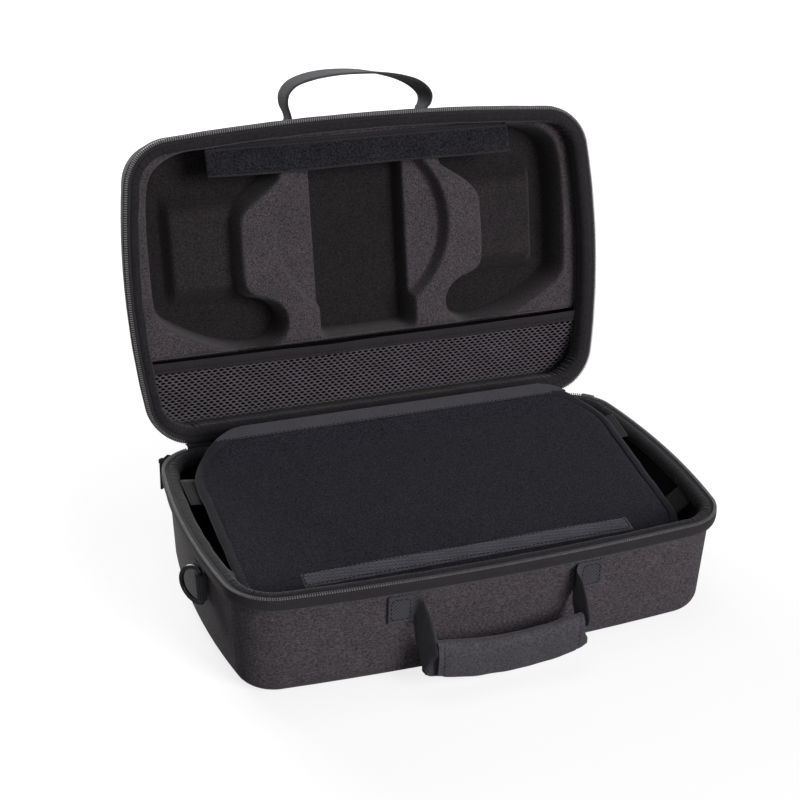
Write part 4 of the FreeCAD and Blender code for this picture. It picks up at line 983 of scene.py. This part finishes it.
class CASE_OT_lid_handle(bpy.types.Operator):
    """Loop the plain webbing handle on the lid's front wall"""

    bl_idname = "case.lid_handle"
    bl_label = "Lid handle"

    LEVEL = 27.0
    WIDTH = 24.0
    THICK = 2.0
    SEAT = 1.4
    SEWN = 2.5

    def wall(self, x, d):
        """Distance of the lid's front wall from the hinge"""
        return REAR + FRONT - LIP - DRAFT * (d - WALL_START) - x ** 2 / (2 * FRONT_BOW)

    def execute(self, context):
        level = self.LEVEL
        seat = self.wall(59.0, level) + self.SEAT
        rows = [
            (-81.0, seat - 0.4, 0), (-72.0, seat, 0), (-64.0, seat + 0.3, 0), (-59.6, seat + 2.4, 0),
            (-60.0, seat + 8.0, 0), (-62.4, seat + 16.0, 3), (-61.0, seat + 25.0, 6), (-53.0, seat + 32.5, 9),
            (-38.0, seat + 37.0, 11), (-18.0, seat + 39.0, 10), (4.0, seat + 38.4, 6), (24.0, seat + 35.8, -2),
            (42.0, seat + 31.4, -9), (56.0, seat + 25.2, -14), (64.4, seat + 16.8, -14), (64.6, seat + 9.0, -8),
            (60.2, seat + 2.6, -2), (63.6, seat + 0.3, 0), (72.0, seat, 0), (81.0, seat - 0.4, 0),
        ]
        table = curve_through(np.array(rows, float), 150)
        path = lid_at(table[:, 0], table[:, 1], level)
        travel = unit(np.gradient(path, axis=0))
        turn = np.radians(table[:, 2])[:, None]
        side = LID_IN * np.cos(turn) + np.cross(travel, np.broadcast_to(LID_IN, travel.shape)) * np.sin(turn)
        lean = math.atan(DRAFT)
        flat = (LID_IN * math.cos(lean) - LID_UP * math.sin(lean))[None, :]
        sewn = ease(np.abs(table[:, 0]), 61.0, 66.0)[:, None] * (table[:, 1:2] < seat + 6)
        side = side * (1 - sewn) + flat * sewn
        heap = Heap()
        ribbon(heap, path, side, self.WIDTH, self.THICK)
        add_piece("lid_handle_webbing", heap, "lid", "twill_webbing", ["lid_handle"])

        def on_webbing(x, d):
            return lid_at(x, self.wall(x, level + d) + self.SEWN, level + d)

        boxes = sewn_boxes(on_webbing, (66.5, -9.0), (79.0, 9.0), LID_UP)
        add_stitches("lid_handle_stitches", "lid", "webbing", *boxes)
        return {"FINISHED"}


class CASE_OT_base_handle(bpy.types.Operator):
    """Sew on the front handle: webbing, stitched ends and padded grip"""

    bl_idname = "case.base_handle"
    bl_label = "Front handle"

    LEVEL = 66.5
    WIDTH = 24.0
    THICK = 1.8
    SEAT = 1.4
    SEWN = 2.35
    INNER = 68.0
    OUTER = 90.0
    GRIP_HALF = 61.0
    GRIP_LEVEL = 31.0
    GRIP_OUT = 27.0
    GRIP_DEEP = 7.3
    GRIP_TALL = 16.0
    GRIP_SEAM = 56.6

    def wall(self, x, z):
        """Front wall of the base"""
        return -(FRONT - LIP - DRAFT * (ZIP_LEVEL - z - WALL_START)) + x ** 2 / (2 * FRONT_BOW)

    def execute(self, context):
        sewn = self.wall(self.INNER, self.LEVEL) - self.SEAT
        grip_y = self.wall(0.0, self.LEVEL) - self.GRIP_OUT
        drop = self.LEVEL - self.GRIP_LEVEL
        reach = sewn - grip_y
        loop = ((1.0, 0.1, 0.03, 0), (2.4, 0.36, 0.22, -14), (2.8, 0.62, 0.55, -20), (3.2, 0.86, 0.86, -12),
                (4.4, 0.98, 0.97, -3), (7.0, 1.0, 1.0, 0), (14.0, 1.0, 1.0, 0))
        left = [(-self.OUTER, self.wall(self.OUTER, self.LEVEL) - self.SEAT, self.LEVEL, 0),
                (-79.0, self.wall(79.0, self.LEVEL) - self.SEAT, self.LEVEL, 0),
                (-self.INNER - 3.0, sewn, self.LEVEL, 0)]
        for x, out, down, twist in loop:
            left.append((x - self.INNER, sewn - out * reach, self.LEVEL - down * drop, twist))
        right = [(-x, y, z, -0.4 * twist) for x, y, z, twist in left[::-1]]
        heap = Heap()
        lean = math.atan(DRAFT)
        for run in (left, right):
            table = curve_through(np.array(run), 90)
            path = table[:, :3]
            travel = unit(np.gradient(path, axis=0))
            turn = np.radians(table[:, 3])[:, None]
            flat = ease(np.abs(path[:, 0]), self.INNER - 1.0, self.INNER + 5.0)[:, None]
            along_wall = np.array((0.0, -math.sin(lean), math.cos(lean)))
            up = np.array((0.0, 0.0, 1.0)) * (1 - flat) + along_wall * flat
            side = up * np.cos(turn) + np.cross(travel, up) * np.sin(turn)
            ribbon(heap, path, side, self.WIDTH, self.THICK)
        add_piece("front_handle_webbing", heap, "base", "twill_webbing",
                  ["base_handle_webbing"])

        def on_webbing(x, z):
            return x, self.wall(x, self.LEVEL + z) - self.SEWN, self.LEVEL + z

        boxes = sewn_boxes(on_webbing, (72.5, -9.0), (87.5, 9.0), (0, -1, 0))
        add_stitches("front_handle_stitches", "base", "webbing", *boxes)
        self.grip(grip_y)
        return {"FINISHED"}

    def grip(self, grip_y):
        rise = sizes().grip_curve / MM
        tip = np.linspace(55, self.GRIP_HALF, 14)
        x = np.concatenate((-tip[::-1], np.linspace(-54, 54, 80), tip))
        turn = np.linspace(0, 2 * math.pi, 56, endpoint=False)
        wide = np.sign(np.cos(turn)) * np.abs(np.cos(turn)) ** 0.72
        tall = np.sign(np.sin(turn)) * np.abs(np.sin(turn)) ** 0.86
        end = np.abs(x) / self.GRIP_HALF
        seam = np.exp(-((np.abs(x) - self.GRIP_SEAM) / 0.8) ** 2)
        closing = np.exp(-((turn - 1.5 * math.pi - 0.25) / 0.07) ** 2)
        fold = swell(x[:, None], turn[None, :] * 9.0, 31, 26.0) * 0.18
        plump = 1 - 0.10 * ease(end, 0.8, 1.0) - 0.05 * seam
        half_y = self.GRIP_DEEP * plump[:, None]
        half_z = self.GRIP_TALL * (1 - 0.05 * ease(end, 0.86, 1.0) - 0.02 * seam)[:, None]
        y = grip_y + (half_y + fold - 0.5 * closing[None, :]) * wide[None, :]
        lifted = self.GRIP_LEVEL - 0.45 * rise + (rise * end ** 2)[:, None]
        z = lifted + (half_z + fold - 0.5 * closing[None, :]) * tall[None, :]
        points = together(x[:, None], y, z)
        heap = Heap().sheet(points, pairs(x, turn * 12.0), close_columns=True)
        for row, inner_x in ((0, 1.2), (-1, -1.2)):
            rim = points[row]
            middle = rim.mean(axis=0)
            rings = [rim]
            for shrink, push in ((0.88, 0.5), (0.6, 1.0), (0.25, 1.2)):
                ring = middle + (rim - middle) * shrink
                ring[:, 0] += inner_x * push
                rings.append(ring)
            heap.sheet(np.stack(rings), close_columns=True)
        grip = add_piece("front_handle_grip", heap, "base", "grip_cloth",
                         ["base_handle_grip"])
        rows = []
        for place in (self.GRIP_SEAM, -self.GRIP_SEAM):
            ring = points[np.abs(x - place).argmin()]
            ring = np.concatenate((ring, ring[:1]))
            rows.append((ring, unit(ring - ring.mean(axis=0))))
        add_stitches("front_handle_grip_stitches", "base", "grip_fabric", *rows, lift=0.05)


def divider_at(x, y, lift):
    """A place over the divider's curled surface, seen from above at x and y"""
    y = np.asarray(y, float)
    mid_y = PANEL_BEND_AT - PANEL_BEND * math.sin(PANEL_SLOPE)
    mid_z = PANEL_LEVEL + math.tan(PANEL_SLOPE) * PANEL_BEND_AT + PANEL_BEND * math.cos(PANEL_SLOPE)
    bent = np.arcsin(np.clip((y - mid_y) / PANEL_BEND, -1, 0.9))
    curled = y > PANEL_BEND_AT
    angle = np.where(curled, bent, PANEL_SLOPE)
    z = np.where(curled, mid_z - PANEL_BEND * np.cos(bent), PANEL_LEVEL + math.tan(PANEL_SLOPE) * y)
    return together(x, y - lift * np.sin(angle), z + lift * np.cos(angle))


def board_line(half, front, rear, front_round, rear_round, count):
    """Outline of the divider from the rear left, round the front, to the rear right, with inward directions"""
    quarter = math.pi / 2
    parts = []
    for mid_x, mid_y, radius, begin in (
        (-half + rear_round, rear - rear_round, rear_round, 0.5 * math.pi),
        (-half + front_round, -front + front_round, front_round, math.pi),
        (half - front_round, -front + front_round, front_round, 1.5 * math.pi),
        (half - rear_round, rear - rear_round, rear_round, 2 * math.pi),
    ):
        angle = np.linspace(begin, begin + quarter, 40)
        out = together(np.cos(angle), np.sin(angle))
        parts.append(np.concatenate((np.array((mid_x, mid_y)) + out * radius, -out), axis=1))
    return even(np.concatenate(parts), count=count)


class CASE_OT_divider(bpy.types.Operator):
    """Pad the divider, bind its edge and sew on its band and hook strip"""

    bl_idname = "case.divider"
    bl_label = "Divider"

    # half width, reach to the front and rear, radius of the front and rear corners
    BOARD = (188.0, 98.0, 103.9, 34.0, 50.0)
    EDGE = 7.0
    BAND = 97.9
    UNDERSIDE = -4.4
    BACK = -5.4
    FACING = np.array((0.0, -0.1, 1.0))
    HOOKS_HALF = 141.0
    HOOKS = (-82.0, -66.0)
    # lift of the hook strip's lower side, edge and stitches
    HOOKS_UNDER = 0.6
    HOOKS_EDGE = 1.5
    HOOKS_SEWN = 2.1

    def half_at(self, y, inset):
        half, front, rear, front_round, rear_round = self.BOARD
        half = half - inset
        for ahead, reach, corner in ((-y, front, front_round), (y, rear, rear_round)):
            radius = corner - inset
            over = np.clip(ahead - (reach - corner), 0, radius)
            half = half - (radius - np.sqrt(np.maximum(radius ** 2 - over ** 2, 0)))
        return half

    def execute(self, context):
        self.panel()
        self.binding()
        self.band()
        self.hook_strip()
        return {"FINISHED"}

    def panel(self):
        inset = self.EDGE - 1.0
        y = np.concatenate((np.linspace(-self.BOARD[1] + inset, 68, 110), np.linspace(70, self.BAND + 1.0, 60)))
        u = np.linspace(-1, 1, 190)
        half = self.half_at(y, inset)
        x = u[None, :] * half[:, None]
        grid_y = np.broadcast_to(y[:, None], x.shape)
        ends = np.minimum(y + self.BOARD[1] - inset, 1.4 * (y[-1] - y))
        edge = np.minimum(half[:, None] - np.abs(x), ends[:, None])
        crown = sizes().crown / MM * ease(edge, 0.0, 16.0) - 0.9 * (1 - ease(edge, 0.0, 5.0))
        top = divider_at(x, grid_y, crown + swell(x, grid_y, 41, 80.0) * 0.35)
        under = divider_at(x, grid_y, np.full_like(x, self.UNDERSIDE))
        cloth = together(x, grid_y)
        heap = Heap().sheet(top, cloth)
        heap.sheet(under, cloth)
        panel = add_piece("divider_pad", heap, "base", "divider_cloth",
                          ["divider_panel"], facing=False)

    def binding(self):
        line = board_line(*self.BOARD, 900)
        share = np.linspace(0, 1, len(line))
        gather = ripple(share, 61, (140, 173, 199, 231))
        slow = ripple(share, 62, (13, 19, 29))
        # distance inside the edge, lift, gather
        profile = np.array((
            (7.4, -0.5, 0.0), (6.7, 0.2, 0.05), (5.6, 0.9, 0.06), (4.2, 1.25, 0.05), (2.7, 1.1, 0.05),
            (1.2, 0.4, 0.05), (0.3, -0.9, 0.05), (0.0, -2.4, 0.05), (0.4, -4.0, 0.05), (1.8, -5.2, 0.05),
            (5.0, -5.4, 0.0), (7.4, -5.0, 0.0),
        ))
        inset = profile[None, :, 0] + slow[:, None] * 0.25
        lift = profile[None, :, 1] + gather[:, None] * profile[None, :, 2]
        x = line[:, None, 0] + line[:, None, 2] * inset
        y = line[:, None, 1] + line[:, None, 3] * inset
        points = divider_at(x, y, lift)
        heap = Heap().sheet(points, pairs(travelled(line[:, :2]), travelled(profile[:, :2])))
        edging = add_piece("divider_edging", heap, "base", "edge_cloth",
                           ["divider_binding"])
        add_stitches("divider_edging_stitches", "base", "binding_fabric", (points[:, 1], self.FACING), lift=0.2)

    def band(self):
        x_half = self.half_at(np.array([self.BAND]), 0.0)[0]
        y = np.linspace(self.BAND - 0.8, self.BOARD[2] + 0.2, 22)
        u = np.linspace(-1, 1, 200)
        half = self.half_at(y, 0.3)
        x = u[None, :] * np.minimum(half, x_half)[:, None]
        grid_y = np.broadcast_to(y[:, None], x.shape)
        share = (grid_y - y[0]) / (y[-1] - y[0])
        lift = 1.2 + 0.2 * np.sin(share * math.pi) + swell(x, grid_y, 71, 70.0) * 0.1
        top = divider_at(x, grid_y, lift)
        back = divider_at(x, grid_y, np.full_like(x, self.BACK))
        cloth = together(x, travelled(top[:, len(u) // 2])[:, None])
        heap = Heap().sheet(top, cloth)
        heap.sheet(back, cloth)
        heap.sheet(np.stack((top[-1], back[-1])), np.stack((cloth[-1], cloth[-1])))
        heap.sheet(np.stack((top[0], divider_at(x[0], grid_y[0], 0.0))), np.stack((cloth[0], cloth[0])))
        add_piece("divider_rear_band", heap, "base", "twill_webbing", ["divider_band"],
                  facing=False)
        add_stitches("divider_rear_band_stitches", "base", "webbing", (top[1], (0.0, -0.8, 0.5)))

    def hook_strip(self):
        x = np.linspace(-self.HOOKS_HALF, self.HOOKS_HALF, 120)
        y = np.linspace(*self.HOOKS, 20)
        cloth = pairs(x, y)
        grid_x, grid_y = cloth[..., 0], cloth[..., 1]
        edge = np.minimum(np.minimum(grid_y - y[0], y[-1] - grid_y), np.minimum(grid_x - x[0], x[-1] - grid_x))
        lift = self.HOOKS_EDGE + 0.5 * ease(edge, 0.0, 1.5) + swell(grid_x, grid_y, 83, 90.0) * 0.2
        top = divider_at(grid_x, grid_y, lift)
        low = divider_at(grid_x, grid_y, np.full_like(lift, self.HOOKS_UNDER))
        heap = Heap().slab(top, low, cloth)
        add_piece("divider_hooks", heap, "base", "hook_cloth", ["divider_hook_strip"])
        box = [divider_at(cx, cy, self.HOOKS_SEWN) for cx, cy in box_line((-139.0, -80.4), (139.0, -67.6))]
        add_stitches("divider_hook_stitches", "base", "fastener", (even(box, count=400), self.FACING))


class CASE_OT_cross_straps(bpy.types.Operator):
    """Sew the two elastic straps across the base under the divider"""

    bl_idname = "case.cross_straps"
    bl_label = "Cross straps"

    UNDER = 6.65
    THICK = 1.4
    # name, place, width, rise and reach of its ends
    STRAPS = (("rear_strap", 55.0, 33.0, 2.0, 197.6), ("front_strap", -60.0, 22.0, 15.0, 200.6))

    def execute(self, context):
        for name, at, width, rise, reach in self.STRAPS:
            end = np.linspace(150, reach, 40)
            x = np.concatenate((-end[::-1], np.linspace(-148, 148, 60), end))
            climb = rise * ease(np.abs(x), 180.0, reach)
            path = divider_at(x, np.full_like(x, min(at, PANEL_BEND_AT)), -self.UNDER + climb)
            across = np.array((0.0, math.cos(PANEL_SLOPE), math.sin(PANEL_SLOPE)))
            heap = Heap()
            ribbon(heap, path, across, width, self.THICK)
            add_piece(f"{name}_elastic", heap, "base", "elastic", [name])
        return {"FINISHED"}


class CASE_OT_rings(bpy.types.Operator):
    """Fold the ring tabs and finish the rings, sliders and pulls"""

    bl_idname = "case.rings"
    bl_label = "Rings and pulls"

    AT = 45.0
    LEVEL = 65.0
    LENGTH = 26.0
    HALF = 11.4
    OUT = 4.5
    BEND = 4.1
    # distance from the wall of the middle between both layers, and of the stitches
    MIDDLE = 1.5
    STITCHED = 2.75

    def execute(self, context):
        for side in ("left", "right"):
            for kind in ("d_ring", "zip_slider", "zip_pull"):
                metal = NODES[f"{kind}_{side}"]
                metal.data.materials.clear()
                metal.data.materials.append(finish_of("black_metal"))
            self.tab(side, -1 if side == "left" else 1)
        return {"FINISHED"}

    def tab(self, side, sign):
        tail = self.LENGTH - self.AT
        wall = HALF - tail ** 2 / (2 * SIDE_BOW) - LIP - DRAFT * (ZIP_LEVEL - self.LEVEL - WALL_START)
        turn = np.radians(np.linspace(180.0, 475.0, 40))
        fold = together(self.OUT + self.BEND * np.cos(turn), self.BEND * np.sin(turn))
        profile = np.concatenate((np.array(((0.4, self.LENGTH), (0.4, 18.0), (0.4, 10.0), (0.4, 3.0))), fold,
                                  np.array(((2.5, 6.0), (2.6, 12.0), (2.6, 19.0), (2.6, self.LENGTH)))))
        profile = even(profile, count=90)
        height = np.linspace(-self.HALF, self.HALF, 13)
        wave = 1 - 0.16 * (np.abs(height) / self.HALF) ** 6
        lean = math.atan(DRAFT)

        def on_wall(x, y, z):
            """A place on the tab, which leans with the case's side"""
            return together(sign * (wall + x * math.cos(lean) + z * math.sin(lean)), y - self.AT,
                            self.LEVEL - x * math.sin(lean) + z * math.cos(lean))

        out, back = profile.T
        travel = travelled(profile)
        rows = []
        for z, soft in zip(height, wave):
            x = np.where(back > 5, self.MIDDLE + (out - self.MIDDLE) * soft, out)
            rows.append(on_wall(x, back, z))
        heap = Heap().tube(np.stack(rows), np.stack([together(travel, z) for z in height]))
        add_piece(f"ring_loop_{side}", heap, "base", "rib_webbing", [f"ring_tab_{side}"])
        box = [on_wall(self.STITCHED, y, z) for y, z in box_line((9.0, -8.6), (23.6, 8.6))]
        add_stitches(f"ring_loop_stitches_{side}", "base", "webbing", (even(box, count=60), (sign, 0, 0)))


class CASE_OT_stage(bpy.types.Operator):
    """Set out the pale, glowing floor, the soft lamps and the camera"""

    bl_idname = "case.stage"
    bl_label = "Stage"

    AZIMUTH = math.radians(-22.889)
    ELEVATION = math.radians(28.209)
    ROLL = math.radians(2.132)
    DISTANCE = 1.43021
    AIM = Vector((0.0, 0.0, 0.1))
    FOCAL = 1741.2
    MIDDLE = (437.6, 478.6)
    FRAME = 800.0
    SENSOR = 36.0
    FLOOR = 6.0
    # name, place, aim, size and power
    LAMPS = (
        ("key", (0.95, -2.3, 1.25), (0, 0.05, 0.12), 1.3, 58.0),
        ("fill", (-0.5, -2.6, 0.9), (0, 0, 0.1), 1.5, 6.0),
        ("back", (-0.55, 2.2, 1.0), (-0.1, 0.1, 0.2), 1.6, 60.0),
        ("top", (0.1, 0.2, 2.2), (0, 0, 0.1), 1.4, 7.0),
    )

    def execute(self, context):
        scene = context.scene
        scene.view_settings.view_transform = "Standard"
        self.floor(scene)
        self.sky(scene)
        self.lamps(scene)
        self.camera(scene)
        return {"FINISHED"}

    def floor(self, scene):
        mesh = bpy.data.meshes.new("floor")
        corners = box_line((-self.FLOOR, -self.FLOOR), (self.FLOOR, self.FLOOR))[:4]
        mesh.from_pydata([(x, y, 0) for x, y in corners], [], [(0, 1, 2, 3)])
        floor = bpy.data.objects.new("floor", mesh)
        scene.collection.objects.link(floor)
        material = bpy.data.materials.new("pale_floor")
        material.use_nodes = True
        tree = material.node_tree
        tree.nodes.clear()
        place = node(tree, "ShaderNodeTexCoord").outputs["Object"]
        away = node(tree, "ShaderNodeVectorMath", {0: place}, operation="LENGTH").outputs["Value"]
        # painted light: the floor's glow is dimmer near the case, where its shadow shows, and brighter far off,
        # where the lamps fall away
        bright = spread(tree, away, 0.55, 1.6, 0.78, 1.02)
        seen = node(tree, "ShaderNodeLightPath").outputs["Is Camera Ray"]
        glow = node(tree, "ShaderNodeEmission", {"Strength": math_node(tree, "MULTIPLY", seen, bright)})
        matte = node(tree, "ShaderNodeBsdfDiffuse", {"Color": (0.3, 0.3, 0.3, 1)})
        both = node(tree, "ShaderNodeAddShader", {0: matte.outputs[0], 1: glow.outputs[0]})
        node(tree, "ShaderNodeOutputMaterial", {"Surface": both.outputs[0]})
        mesh.materials.append(material)

    def sky(self, scene):
        world = bpy.data.worlds.new("studio")
        scene.world = world
        world.use_nodes = True
        tree = world.node_tree
        path = node(tree, "ShaderNodeLightPath")
        lit = math_node(tree, "MULTIPLY_ADD", path.outputs["Is Glossy Ray"], 0.4, 0.08)
        strength = math_node(tree, "MAXIMUM", path.outputs["Is Camera Ray"], lit)
        feed(tree, tree.nodes["Background"], {"Color": (1, 1, 1, 1), "Strength": strength})

    def lamps(self, scene):
        for name, place, aim, size, power in self.LAMPS:
            lamp = bpy.data.lights.new(name, "AREA")
            lamp.shape = "DISK"
            lamp.size = size
            lamp.energy = power
            holder = bpy.data.objects.new(name, lamp)
            holder.location = place
            holder.rotation_euler = (Vector(aim) - Vector(place)).to_track_quat("-Z", "Y").to_euler()
            scene.collection.objects.link(holder)

    def camera(self, scene):
        a, e, roll = self.AZIMUTH, self.ELEVATION, self.ROLL
        back = Vector((math.sin(a) * math.cos(e), -math.cos(a) * math.cos(e), math.sin(e)))
        right = Vector((math.cos(a), math.sin(a), 0.0))
        up = back.cross(right)
        level_right = right * math.cos(roll) + up * math.sin(roll)
        level_up = -right * math.sin(roll) + up * math.cos(roll)
        data = bpy.data.cameras.new("camera")
        data.sensor_width = self.SENSOR
        data.lens = self.FOCAL / self.FRAME * self.SENSOR
        data.shift_x = (self.FRAME / 2 - self.MIDDLE[0]) / self.FRAME
        data.shift_y = (self.MIDDLE[1] - self.FRAME / 2) / self.FRAME
        camera = bpy.data.objects.new("camera", data)
        turn = Matrix((level_right, level_up, back)).transposed()
        camera.matrix_world = Matrix.Translation(self.AIM + back * self.DISTANCE) @ turn.to_4x4()
        scene.collection.objects.link(camera)
        scene.camera = camera


OPERATORS = (
    CASE_OT_shells, CASE_OT_rim_bindings, CASE_OT_zip, CASE_OT_hinge, CASE_OT_tray, CASE_OT_net_pocket,
    CASE_OT_fastening_flap, CASE_OT_lid_handle, CASE_OT_base_handle, CASE_OT_divider, CASE_OT_cross_straps,
    CASE_OT_rings, CASE_OT_stage,
)


class CASE_PT_panel(bpy.types.Panel):
    """Lists the steps that dress the case"""

    bl_idname = "CASE_PT_panel"
    bl_label = "Storage case"
    bl_space_type = "VIEW_3D"
    bl_region_type = "UI"
    bl_category = "Case"

    def draw(self, context):
        for group in (context.scene.case_sizes, context.scene.case_colours):
            box = self.layout.box()
            for name in group.__annotations__:
                box.prop(group, name)
        for step in OPERATORS:
            self.layout.operator(step.bl_idname)


CLASSES = (CaseSizes, CaseColours, *OPERATORS, CASE_PT_panel)


def register():
    for item in CLASSES:
        bpy.utils.register_class(item)
    bpy.types.Scene.case_sizes = PointerProperty(type=CaseSizes)
    bpy.types.Scene.case_colours = PointerProperty(type=CaseColours)


def unregister():
    del bpy.types.Scene.case_colours
    del bpy.types.Scene.case_sizes
    for item in reversed(CLASSES):
        bpy.utils.unregister_class(item)


def main():
    register()
    for step in OPERATORS:
        group, name = step.bl_idname.split(".")
        getattr(getattr(bpy.ops, group), name)()


if __name__ == "__main__":
    main()
